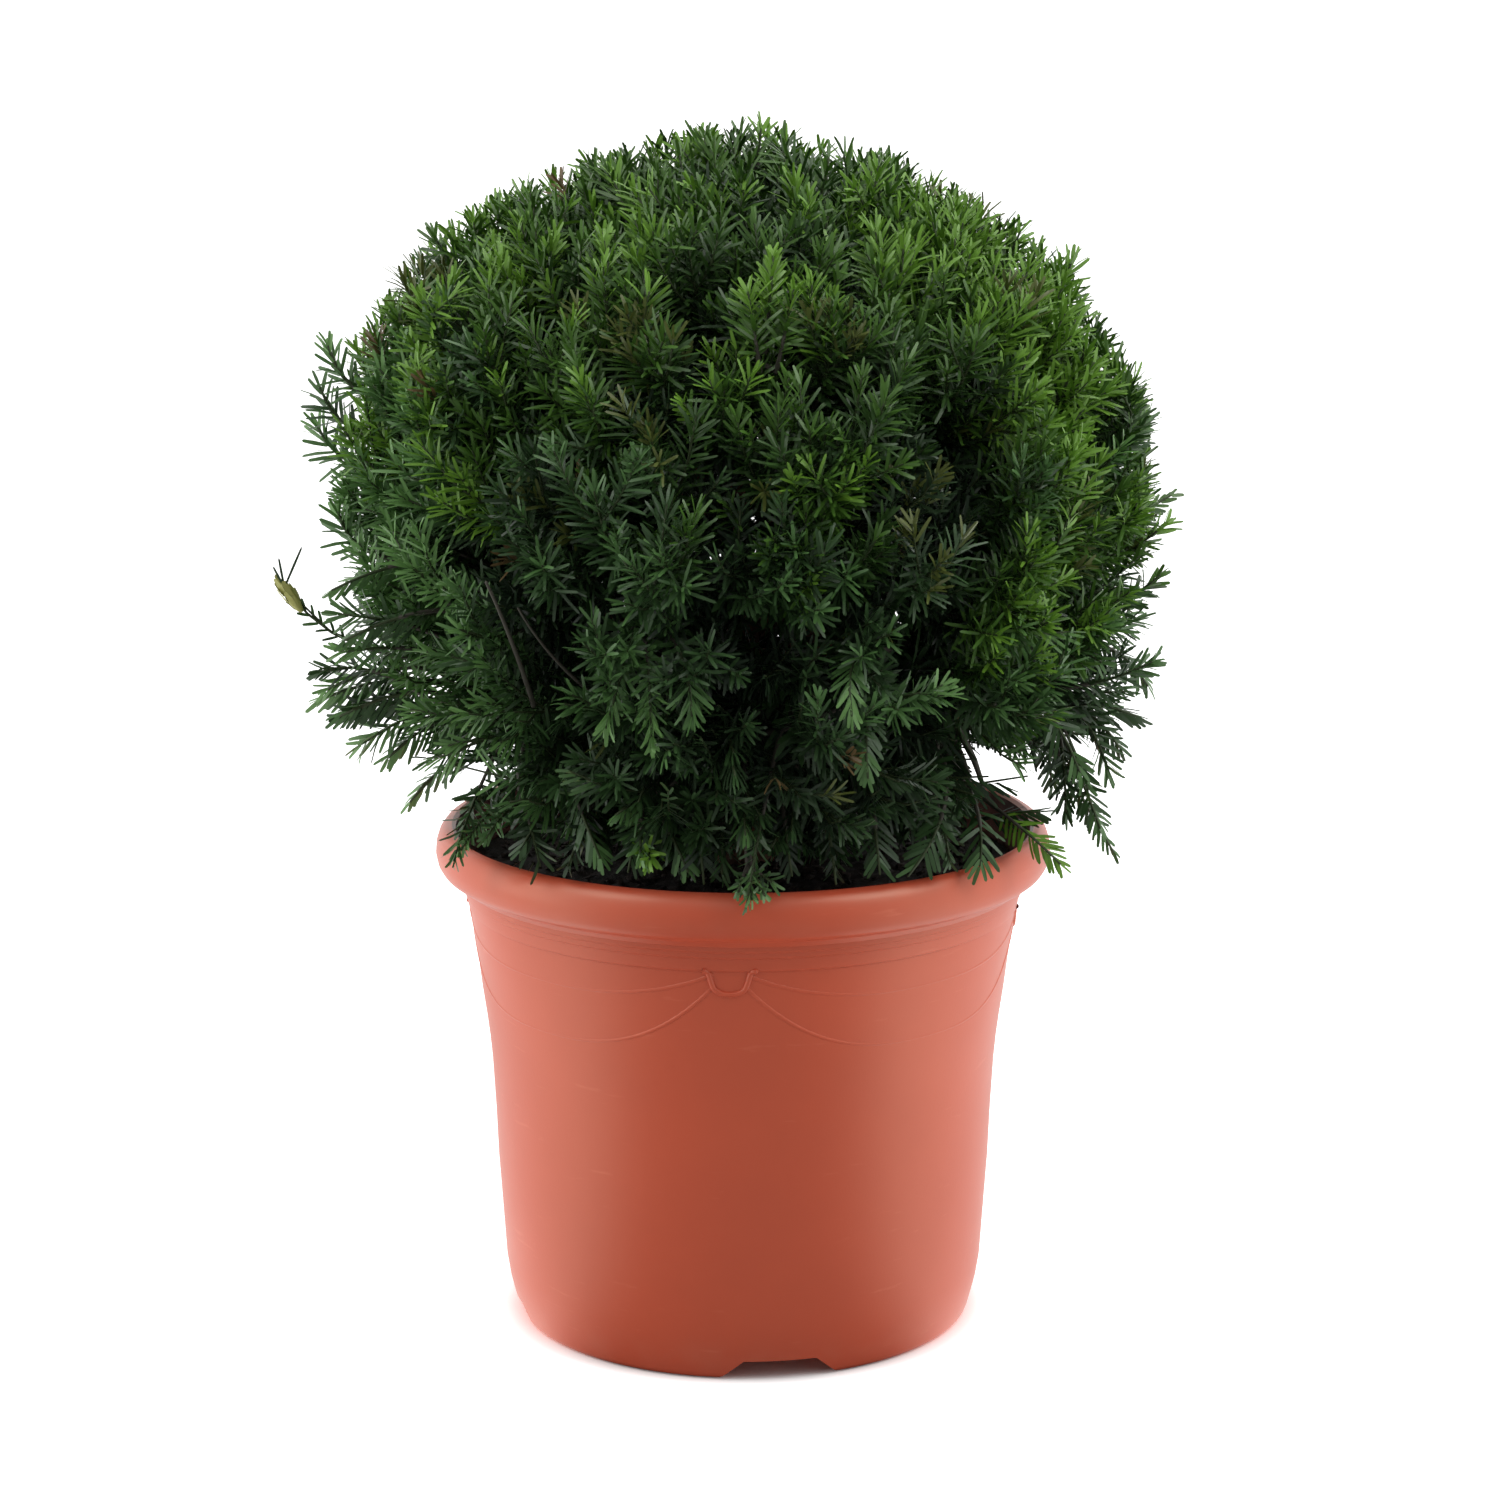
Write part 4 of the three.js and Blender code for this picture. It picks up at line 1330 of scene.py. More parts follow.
# Each spray's tint is painted light and shade as well: mostly SHADE and DEEP over the pot's mouth, BRIGHT and
# FRESH on the lit sprays.
SHOWN_SPRAYS = (
    ShownSpray((470, 690, -20), (400, 664, -40), (318, 700, -35), Tint.BRIGHT, droop=-1.1, size=1.1),
    ShownSpray((470, 700, -30), (410, 678, -45), (340, 716, -42), droop=-0.9, size=1.1),
    ShownSpray((450, 640, -70), (400, 618, -90), (338, 614, -90), flat=False),
    ShownSpray((450, 655, -60), (395, 642, -80), (342, 652, -80), Tint.BRIGHT, flat=False),
    ShownSpray((430, 700, -50), (370, 655, -60), (318, 672, -62), Tint.SHADE, flat=False, size=0.8),
    ShownSpray((485, 705, -10), (420, 700, -30), (362, 744, -30), Tint.BRIGHT, flat=False, size=1.1),
    ShownSpray((480, 718, -15), (428, 714, -28), (388, 758, -30), Tint.BRIGHT, droop=-1.0),
    ShownSpray((520, 765, 0), (450, 740, 0), (410, 802, 0), Tint.BRIGHT, droop=-1.2, sparse=1.2),
    ShownSpray((440, 560, -60), (390, 560, -85), (332, 590, -85), Tint.BRIGHT, droop=-1.4),
    ShownSpray((450, 610, -80), (400, 610, -95), (345, 640, -95), droop=-1.2),
    ShownSpray((520, 800, -60), (490, 800, -90), (461, 850, -104), Tint.BRIGHT, flat=False, size=0.62),
    ShownSpray((530, 800, -60), (510, 800, -95), (486, 838, -110), flat=False, size=0.62),
    ShownSpray((540, 790, -60), (500, 780, -80), (470, 806, -92), Tint.SHADE, flat=False, size=0.7),
    ShownSpray((648, 838, -112), (648, 848, -130), (650, 860, -140), Tint.FRESH, flat=False, size=0.7),
    ShownSpray((640, 790, -90), (668, 820, -128), (688, 872, -137), droop=-0.3),
    ShownSpray((570, 780, -90), (580, 810, -125), (600, 858, -131), size=0.9),
    ShownSpray((640, 620, -120), (630, 640, -172), (606, 728, -172), Tint.BRIGHT, flat=False),
    ShownSpray((640, 620, -120), (650, 640, -180), (652, 748, -176), Tint.BRIGHT, flat=False),
    ShownSpray((650, 620, -120), (690, 640, -175), (692, 716, -178), flat=False),
    ShownSpray((890, 650, -110), (840, 632, -165), (852, 716, -176), Tint.BRIGHT, droop=-0.3, size=0.9),
    ShownSpray((880, 690, -120), (862, 712, -165), (868, 778, -166), droop=-0.3, size=0.9),
    ShownSpray((985, 800, -50), (1022, 826, -92), (1060, 864, -98), Tint.FRESH, droop=-0.4, size=0.85),
    ShownSpray((945, 765, -90), (955, 820, -120), (908, 876, -128), droop=-0.2),
    ShownSpray((980, 820, -40), (1000, 812, -70), (1040, 812, -80), Tint.SHADE, size=0.8),
    ShownSpray((520, 790, -90), (530, 820, -112), (540, 866, -117), Tint.SHADE, flat=False),
    ShownSpray((690, 790, -110), (700, 830, -132), (704, 884, -136), Tint.DEEP, size=0.8, droop=-0.2),
    ShownSpray((748, 866, -140), (742, 878, -152), (738, 892, -157), flat=False, size=0.5),
    ShownSpray((748, 866, -140), (750, 880, -152), (752, 900, -159), Tint.BRIGHT, flat=False, size=0.5),
    ShownSpray((750, 866, -140), (756, 880, -152), (765, 896, -159), Tint.BRIGHT, flat=False, size=0.5),
    ShownSpray((750, 866, -140), (762, 876, -152), (774, 884, -156), flat=False, size=0.5),
    ShownSpray((645, 800, -112), (640, 830, -128), (641, 858, -137), Tint.BRIGHT, flat=False, size=0.8),
    ShownSpray((820, 780, -110), (830, 830, -132), (836, 884, -136), Tint.DEEP, flat=False, size=0.8),
    ShownSpray((780, 780, -110), (785, 830, -130), (792, 876, -134), Tint.DEEP, size=0.8, droop=-0.3),
    ShownSpray((720, 790, -110), (724, 830, -130), (722, 874, -134), Tint.SHADE, flat=False, size=0.8),
    ShownSpray((650, 790, -100), (636, 830, -126), (628, 872, -130), Tint.SHADE, size=0.8, droop=-0.3),
    ShownSpray((600, 790, -95), (584, 822, -118), (568, 866, -124), Tint.DEEP, flat=False, size=0.8),
    ShownSpray((560, 790, -85), (540, 815, -108), (520, 850, -116), Tint.SHADE, size=0.8, droop=-0.3),
    ShownSpray((870, 780, -105), (876, 830, -128), (880, 874, -132), Tint.SHADE, size=0.8, droop=-0.3),
    ShownSpray((930, 780, -95), (944, 820, -116), (950, 862, -121), Tint.SHADE, flat=False, size=0.8),
    ShownSpray((970, 790, -80), (986, 826, -104), (980, 866, -112), droop=-0.3),
    ShownSpray((1030, 690, -20), (1090, 700, -30), (1120, 748, -30), Tint.SHADE, droop=-0.8),
    ShownSpray((1000, 690, -40), (1050, 690, -60), (1080, 772, -66), droop=-0.1),
    ShownSpray((1010, 725, -10), (1080, 690, -20), (1136, 716, -20), Tint.SHADE, droop=-1.2),
    ShownSpray((1030, 690, -40), (1100, 690, -50), (1152, 662, -55), flat=False),
    ShownSpray((1010, 700, 10), (1050, 715, 10), (1052, 786, 10), Tint.SHADE, droop=-0.1),
    ShownSpray((1080, 610, -20), (1125, 610, -25), (1160, 575, -30), flat=False),
    ShownSpray((1040, 690, -30), (1070, 730, -50), (1088, 790, -58), flat=False, size=0.9),
    ShownSpray((1050, 700, -10), (1066, 740, -40), (1066, 812, -60), Tint.SHADE, flat=False, size=0.9),
    ShownSpray((1040, 680, -20), (1095, 715, -35), (1108, 772, -40), flat=False, size=0.9),
    ShownSpray((1056, 728, -20), (1084, 780, -45), (1100, 828, -60), droop=-0.5, size=0.8),
    ShownSpray((1060, 560, -10), (1130, 560, -15), (1166, 524, -15), Tint.BRIGHT, flat=False),
    ShownSpray((1060, 640, 0), (1120, 636, -5), (1148, 686, -5), droop=-0.8),
    ShownSpray((970, 310, 0), (1004, 275, 0), (1020, 232, 0), Tint.BRIGHT, flat=False),
    ShownSpray((1010, 340, 0), (1058, 304, 0), (1072, 262, 0), Tint.FRESH, flat=False),
    ShownSpray((755, 190, -10), (757, 165, -10), (761, 129, -10), Tint.BRIGHT, flat=False),
    ShownSpray((735, 190, -10), (738, 165, -10), (740, 134, -10), flat=False),
    ShownSpray((776, 190, 0), (779, 165, 0), (784, 137, 0), flat=False),
    ShownSpray((766, 352, -142), (768, 322, -150), (773, 256, -138), Tint.FRESH, flat=False, sparse=0.5),
    ShownSpray((760, 372, -146), (756, 340, -156), (748, 292, -147), Tint.BRIGHT, flat=False, sparse=0.6),
    ShownSpray((776, 372, -146), (784, 340, -156), (794, 290, -147), Tint.BRIGHT, flat=False, sparse=0.6),
    ShownSpray((500, 300, 0), (448, 272, 0), (434, 236, 0), flat=False),
    ShownSpray((400, 400, -20), (342, 400, -25), (328, 346, -25), Tint.BRIGHT, flat=False),
    ShownSpray((400, 440, -10), (338, 440, -15), (320, 388, -15), flat=False),
    ShownSpray((400, 470, 20), (340, 474, 15), (318, 428, 15), Tint.BRIGHT, flat=False),
    ShownSpray((410, 560, -10), (350, 560, -20), (338, 512, -20), Tint.BRIGHT, flat=False),
    ShownSpray((470, 680, -30), (395, 650, -45), (326, 690, -40), Tint.BRIGHT, flat=False),
    ShownSpray((460, 715, -30), (395, 690, -40), (344, 716, -38), Tint.SHADE, flat=False),
)


@dataclass(frozen=True)
class ShownTwig:
    """A bare twig that a hollow shows, placed as the shown sprays are."""

    start: Point
    bend: Point
    tip: Point
    mass: str = "skirt_4"
    radius: float = 0.0013
    taper: float = 0.5
    steps: int = 12
    sides: int = 8

    def skin(self, studio: "Studio") -> tuple[Array, Array]:
        """Points and triangles of the twig."""
        spots = [studio.at_depth(spot)[None] for spot in (self.start, self.bend, self.tip)]
        return Arches(*spots).skin(self.steps, (self.radius, self.radius * self.taper), self.sides)


SHOWN_TWIGS = (
    ShownTwig((534, 706, -120), (512, 636, -140), (486, 582, -156)),
    ShownTwig((606, 704, -116), (548, 662, -132), (518, 608, -146), radius=0.0010),
)


@dataclass(frozen=True)
class Lamp:
    """A soft rectangular light: its place and aim, its sides in metres and its power in watts."""

    name: str
    place: Point
    aim: Point
    sides: Pair
    power: float

    def hang(self) -> None:
        """Add the light to the scene."""
        data = bpy.data.lights.new(self.name, "AREA")
        data.shape = "RECTANGLE"
        data.size, data.size_y = self.sides
        data.energy = self.power
        lamp = placed(self.name, data)
        lamp.location = self.place
        lamp.rotation_euler = (Vector(self.aim) - Vector(self.place)).to_track_quat("-Z", "Y").to_euler()


LAMPS = (
    Lamp("front_softbox", (0, -1.9, 1.7), (0, 0, 0.25), (1.6, 1.0), 2.2),
    Lamp("high_left", (-1.3, -0.7, 1.7), (0, 0, 0.28), (1.0, 1.0), 9.5),
    Lamp("high_right", (1.3, -0.7, 1.7), (0, 0, 0.28), (1.0, 1.0), 12.0),
    Lamp("low_left", (-1.6, -0.2, 0.55), (0, 0, 0.30), (1.0, 1.0), 3.0),
    Lamp("top_right", (0.45, -0.05, 1.95), (0.02, 0, 0.42), (0.9, 0.9), 7.0),
)


@dataclass
class Studio:
    """Pale floor, soft lights and the camera at the photograph's viewing angle. Metres.

    The greys of the floor are those for the camera, for other rays and for mirrored ones. Spans
    tell where a glow starts and ends: by the distance from the middle, or by a unit direction. The
    floor's glow to the camera fades out towards the pot's foot, a painted soft shadow round it.
    """

    camera_place: Point = (0.0034, -1.9169, 0.7124)
    camera_pitch: float = 0.221
    focal: float = 4033.0
    frame_width: float = 1500.0
    sensor: float = 36.0
    floor_reach: float = 40.0
    floor_drop: float = 0.0002
    floor_greys: Triple = (0.95, 0.60, 0.05)
    foot_shadow_span: Pair = (0.104, 0.132)
    floor_glow: float = 0.88
    sweep_glow: float = 1.1
    sweep_dim: float = 0.18
    sweep_bright: float = 1.15
    sweep_span: Pair = (-0.88, -0.36)
    dome_span: Pair = (0.30, 0.80)
    dome_top: float = 0.45

    def build(self) -> None:
        """Make the floor, the lights, the world and the camera."""
        self.floor()
        for lamp in LAMPS:
            lamp.hang()
        self.world()
        self.camera()

    def ray(self, u: float, v: float) -> Array:
        """Direction from the camera through a pixel of the photograph.

        Args:
            u: Pixel column.
            v: Pixel row.

        Returns:
            The unit direction.
        """
        half = self.frame_width / 2
        sideways, upward = (u - half) / self.focal, (half - v) / self.focal
        tilt = self.camera_pitch
        forward = math.cos(tilt) + upward * math.sin(tilt)
        rise = upward * math.cos(tilt) - math.sin(tilt)
        return unit(np.array([sideways, forward, rise]))

    def pixels(self, points: Array) -> tuple[Array, Array]:
        """Pixels of the photograph at which points are seen.

        Args:
            points: Points as rows.

        Returns:
            Their columns and rows.
        """
        away = points - np.array(self.camera_place)
        ahead = np.array([0, math.cos(self.camera_pitch), -math.sin(self.camera_pitch)])
        above = np.array([0, math.sin(self.camera_pitch), math.cos(self.camera_pitch)])
        half = self.frame_width / 2
        scale = self.focal / (away @ ahead)
        return half + scale * away[..., 0], half - scale * (away @ above)

    def on_ball(self, u: float, v: float, centre: Array, radius: float) -> Array:
        """Direction from a ball's centre to where a pixel's ray meets or passes it.

        Args:
            u: Pixel column.
            v: Pixel row.
            centre: The ball's centre.
            radius: The ball's radius.

        Returns:
            The unit direction from the centre.
        """
        ray = self.ray(u, v)
        away = centre - np.array(self.camera_place)
        nearest = float(away @ ray)
        miss = float(away @ away) - nearest**2
        distance = nearest - math.sqrt(max(radius**2 - miss, 0.0))
        return unit(np.array(self.camera_place) + ray * distance - centre)

    def at_depth(self, spot: Point) -> Array:
        """Point seen at a pixel of the photograph, at a given depth.

        Args:
            spot: Pixel column and row, and the point's Y in millimetres.

        Returns:
            The point in metres.
        """
        u, v, depth = spot
        ray = self.ray(u, v)
        place = np.array(self.camera_place)
        return place + ray * (depth * MM - place[1]) / ray[1]

    def floor(self) -> None:
        """Lay a wide pale floor: white to the camera, and for other rays bright but for the camera's side.
        Near the pot's foot its glow to the camera fades out, a painted soft shadow.
        """
        mesh = bpy.data.meshes.new("floor")
        half = self.floor_reach
        corners = [(-half, -half, 0), (half, -half, 0), (half, half, 0), (-half, half, 0)]
        mesh.from_pydata(corners, [], [(0, 1, 2, 3)])
        floor = placed("floor", mesh)
        floor.location.z = -self.floor_drop
        finish = Finish("pale_floor")
        tree = finish.tree
        seen, mirrored = [wire(tree, "LightPath", f"Is {kind} Ray") for kind in ("Camera", "Glossy")]
        plain, shaded, dark = [(grey, grey, grey, 1) for grey in self.floor_greys]
        shade = finish.mixed(mirrored, shaded, dark)
        place = wire(tree, "TexCoord", "Object")
        reach = wire(tree, "VectorMath", "Value", {0: place}, operation="LENGTH")
        way = wire(tree, "VectorMath", "Vector", {0: place}, operation="NORMALIZE")
        behind = wire(tree, "SeparateXYZ", "Y", {"Vector": way})
        # Painted shadow: the glow to the camera fades to nothing towards the pot's foot and under it.
        around = smooth_rise(tree, reach, self.foot_shadow_span, (0, self.floor_glow))
        beside = smooth_rise(tree, behind, self.sweep_span, (0, self.sweep_glow))
        glow = wire(tree, "Mix", "Result", {"Factor": seen, "A": beside, "B": around})
        finish.set(Base_Color=finish.mixed(seen, shade, plain), Emission_Strength=glow)
        finish.set(Emission_Color=(1, 1, 1, 1), Roughness=0.8, Specular_IOR_Level=0.0)
        mesh.materials.append(finish.material)

    def world(self) -> None:
        """Surround the plant with white, dim on the camera's side and overhead, full white to the camera."""
        world = bpy.data.worlds.new("studio_white")
        world.use_nodes = True
        tree = world.node_tree
        place = wire(tree, "TexCoord", "Generated")
        behind, above = [wire(tree, "SeparateXYZ", axis, {"Vector": place}) for axis in "YZ"]
        sweep = smooth_rise(tree, behind, self.sweep_span, (self.sweep_dim, self.sweep_bright))
        dome = smooth_rise(tree, above, self.dome_span, (1.0, self.dome_top))
        dimmed = wire(tree, "Math", "Value", {0: sweep, 1: dome}, operation="MULTIPLY")
        seen = wire(tree, "LightPath", "Is Camera Ray")
        strength = wire(tree, "Mix", "Result", {"Factor": seen, "A": dimmed, "B": 1.0})
        back = tree.nodes["Background"]
        feed(tree, back.inputs["Color"], (1, 1, 1, 1))
        feed(tree, back.inputs["Strength"], strength)
        bpy.context.scene.world = world
        bpy.context.scene.view_settings.view_transform = "Standard"

    def camera(self) -> None:
        """Place the camera at the photograph's viewing angle."""
        data = bpy.data.cameras.new("camera")
        data.sensor_width = self.sensor
        data.lens = self.focal / self.frame_width * self.sensor
        camera = placed("camera", data)
        camera.location = self.camera_place
        camera.rotation_euler = (math.pi / 2 - self.camera_pitch, 0, 0)
        bpy.context.scene.camera = camera


@dataclass(frozen=True)
class Opening:
    """A place where the photograph shows sky through the plant: an ellipse in its pixels.

    turn is the angle in degrees by which its long axis falls to the right.
    """

    u: float
    v: float
    long: float
    short: float
    turn: float = 0.0


OPENINGS = (
    Opening(994, 767, 37, 12, 30), Opening(471, 778, 21, 10, -38), Opening(1074, 745, 16, 6, 45),
    Opening(436, 566, 4, 3), Opening(578, 727, 4, 3), Opening(595, 718, 4, 3), Opening(473, 741, 7, 3, 60),
    Opening(512, 747, 4, 3), Opening(994, 705, 4, 3), Opening(728, 606, 4, 3), Opening(755, 824, 5, 3, -60),
)


@dataclass
class Places:
    """How strongly soft places act in any direction, in front and mirrored behind."""

    studio: Studio
    form: CrownForm
    ball_radius: float = 0.2
    mirror_from: float = -0.35

    def clear(self, points: Array) -> Array:
        """Whether points are clear of every opening.

        Args:
            points: Points as rows.

        Returns:
            True for each point that stands in no opening.
        """
        u, v = self.studio.pixels(points)
        kept = np.ones(len(points), dtype=bool)
        for opening in OPENINGS:
            turn = math.radians(opening.turn)
            right, down = u - opening.u, v - opening.v
            along = (right * math.cos(turn) + down * math.sin(turn)) / opening.long
            across = (down * math.cos(turn) - right * math.sin(turn)) / opening.short
            kept &= np.hypot(along, across) > 1
        return kept

    def strength(self, patches: tuple[Patch, ...], ways: Array) -> Array:
        """Strength of a set of places.

        Args:
            patches: The places.
            ways: Unit directions from the crown's centre, as rows.

        Returns:
            One strength for each direction.
        """
        total = np.zeros(len(ways))
        for patch in patches:
            front = self.studio.on_ball(patch.u, patch.v, self.form.centre, self.ball_radius)
            behind = front * np.array([-1, -1, 1]) if front[1] < self.mirror_from else front
            for middle in (front, behind):
                angle = np.degrees(np.arccos(np.clip(ways @ middle, -1, 1)))
                total = np.maximum(total, patch.amount * np.exp(-((angle / patch.spread) ** 2)))
        return total


@dataclass(frozen=True)
class NeedleShape:
    """A flat yew needle with even breadth and a blunt tip, in shares of its length and width."""

    width: float = 0.0016
    length: Pair = (0.0120, 0.0175)
    reach: tuple[float, ...] = (0, 0.10, 0.10, 0.55, 0.55, 0.93, 0.93, 1)
    breadth: tuple[float, ...] = (0, -0.40, 0.40, -0.5, 0.5, -0.38, 0.38, 0)
    faces: tuple[Corners, ...] = (
        (0, 1, 2), (1, 3, 4), (1, 4, 2), (3, 5, 6), (3, 6, 4), (5, 7, 6),
    )

    def blades(
        self, spot: Array, heading: Array, facing: Array, length: Array,
        width: Array, bend: Array
    ) -> Array:
        """Points of many needles.

        Args:
            spot: Where each needle starts.
            heading: Unit direction of each needle.
            facing: Unit direction that its broad side faces.
            length: Its length.
            width: Its width.
            bend: How far its tip bends back, as a share of its length.

        Returns:
            An array of needles, points and x, y, z.
        """
        reach, breadth = np.array(self.reach), np.array(self.breadth)
        across = np.cross(facing, heading)
        return (
            spot[:, None]
            + heading[:, None] * (length[:, None] * reach)[..., None]
            + across[:, None] * (width[:, None] * breadth)[..., None]
            - facing[:, None] * ((bend * length)[:, None] * reach**2)[..., None]
        )

    def gather(self, parts: MeshParts, points: Array, looks: Array) -> None:
        """Add needles to a piece.

        Args:
            parts: Where the needles are gathered.
            points: Their points, as blades gives them.
            looks: Material index of each needle.
        """
        shifts = np.arange(len(points)) * len(self.reach)
        faces = np.array(self.faces)[None] + shifts[:, None, None]
        parts.add(points, faces, np.repeat(looks, len(self.faces)))


@dataclass(frozen=True)
class OldNeedleShape(NeedleShape):
    """An old inner needle: four faces, a little broader, so that fewer close the view through."""

    width: float = 0.0030
    length: Pair = (0.017, 0.024)
    reach: tuple[float, ...] = (0, 0.2, 0.2, 0.8, 0.8, 1)
    breadth: tuple[float, ...] = (0, -0.5, 0.5, -0.45, 0.45, 0)
    faces: tuple[Corners, ...] = ((0, 1, 2), (1, 3, 4), (1, 4, 2), (3, 5, 4))


@dataclass(frozen=True)
class PotRoom:
    """The room that needles leave to the pot, in metres: clear within its mouth, above and outside it."""

    mouth_radius: float = 0.136
    mouth_floor: float = 0.232
    rim_top: float = 0.2495
    rim_radius: float = 0.1535

    def clear(self, points: Array) -> Array:
        """Whether points keep clear of the pot and the potting mix.

        Args:
            points: Points as rows.

        Returns:
            True for each point that does.
        """
        radius, height = np.hypot(points[:, 0], points[:, 1]), points[:, 2]
        in_mouth = (radius < self.mouth_radius) & (height > self.mouth_floor)
        return in_mouth | (height > self.rim_top) | (radius > self.rim_radius)


@dataclass
class NeedleSet:
    """Shoots that carry needles, with how the needles stand on each of them.

    pitch is the distance between needles in metres. The spreads are a needle's angle from the shoot
    at its root, over the first stretch and at its tip, in degrees. limit is the share of the crown's
    reach that needles keep within.
    """

    shoots: Arches
    tints: Array
    tip_tints: Array
    flat: Array
    droop: Array
    face: Array
    size: Array | float = 1.0
    pitch: Array | float = 0.00108
    breadth: float = 1.0
    tip_length: float = 0.60
    root_spread: float = 56.0
    spread_fall: float = 10.0
    tip_spread: float = 17.0
    spread_stray: float = 4.0
    limit: float = 1.05
    flat_pitch: float = 1.6
    fewest: int = 6
    bare_foot: float = 0.06
    golden_turn: float = 2.39996
    turn_strays: Pair = (0.30, 0.18)
    flat_twist: float = 0.95
    round_twist: float = 0.75
    facing_stray: float = 0.10
    length_strays: Pair = (0.88, 1.08)
    width_strays: Pair = (0.88, 1.1)
    bends: Pair = (0.04, 0.30)
    length_knots: tuple[float, ...] = (0, 0.2, 0.6, 0.85, 1)
    length_shares: tuple[float, ...] = (0.72, 0.95, 1, 0.82)
    root_strays: Pair = (0.2, 0.8)
    checks: int = 5
    young_from: float = 0.72
    young_stray: float = 0.07

    def grow(self, parts: MeshParts, shape: NeedleShape, places: Places, random: Random) -> int:
        """Set the needles along the shoots.

        Args:
            parts: Where the needles are gathered.
            shape: Shape of the needles.
            places: The crown's outline and the openings that stay clear.
            random: Seeded generator.

        Returns:
            The number of needles.
        """
        shoots = self.shoots
        pitch = self.pitch * np.where(self.flat > 0.5, self.flat_pitch, 1.0)
        counts = np.maximum((shoots.length() / pitch).astype(int), self.fewest)
        which = np.repeat(np.arange(len(counts)), counts)
        total = len(which)
        number = np.arange(total) - np.repeat(np.cumsum(counts) - counts, counts)
        share = np.clip((number + random.uniform(*self.root_strays, total)) / counts[which], 0, 1)
        share = share * (1 - self.bare_foot) + self.bare_foot
        share = np.where(number == counts[which] - 1, 1.0, share)
        spot = shoots.at(which, share)
        heading, facing = self.stand(which, number, share, random)
        low, high = shape.length
        size = np.broadcast_to(self.size, len(counts))[which]
        length = random.uniform(low, high, len(counts))[which] * size
        length *= random.uniform(*self.length_strays, total)
        length *= np.interp(share, self.length_knots, [*self.length_shares, self.tip_length])
        width = shape.width * self.breadth * np.sqrt(size) * random.uniform(*self.width_strays, total)
        bend = random.uniform(*self.bends, total)
        end = spot + heading * length[:, None]
        room = PotRoom()
        keep = room.clear(spot) & room.clear(end) & (places.form.share_of(end) < self.limit)
        for part in np.linspace(0, 1, self.checks):
            keep &= places.clear(spot + (end - spot) * part)
        points = shape.blades(spot, heading, facing, length, width, bend)[keep]
        late = share + random.normal(0, self.young_stray, total) > self.young_from
        looks = np.where(late, self.tip_tints[which], self.tints[which])[keep]
        shape.gather(parts, points, looks)
        return len(points)

    def stand(
        self, which: Array, number: Array, share: Array, random: Random
    ) -> tuple[Array, Array]:
        """Directions in which needles point and face: in two rows on flat shoots, all round on others.

        Args:
            which: Number of the shoot for each needle.
            number: Number of the needle on its shoot.
            share: Share of the shoot's length at which it stands.
            random: Seeded generator.

        Returns:
            The unit directions along the needles and those that their broad sides face.
        """
        total = len(which)
        along = self.shoots.along(which, share)
        flat = self.flat[which]
        row_stray, round_stray = self.turn_strays
        rows = (number % 2) * math.pi + random.normal(0, row_stray, total)
        turn = np.where(flat > 0.5, rows, number * self.golden_turn + random.normal(0, round_stray, total))
        around, over = around_axis(along, self.face[which] + SMALL_TILT, turn)
        around = unit(around + over * (self.droop[which] * flat)[:, None])
        drop = self.root_spread - self.spread_fall - self.tip_spread
        spread = self.root_spread - self.spread_fall * share - drop * share**3
        spread = np.radians(spread + random.normal(0, self.spread_stray, total))[:, None]
        heading = unit(along * np.cos(spread) + around * np.sin(spread))
        beside = np.cross(heading, along)
        beside = unit(beside) * np.where(np.sum(beside * over, axis=1) < 0, -1, 1)[:, None]
        twist = np.where(flat > 0.5, self.flat_twist, random.uniform(0, self.round_twist, total))[:, None]
        facing = along * (1 - twist) + beside * twist + random.normal(0, self.facing_stray, (total, 3))
        return heading, square_to(facing, heading)


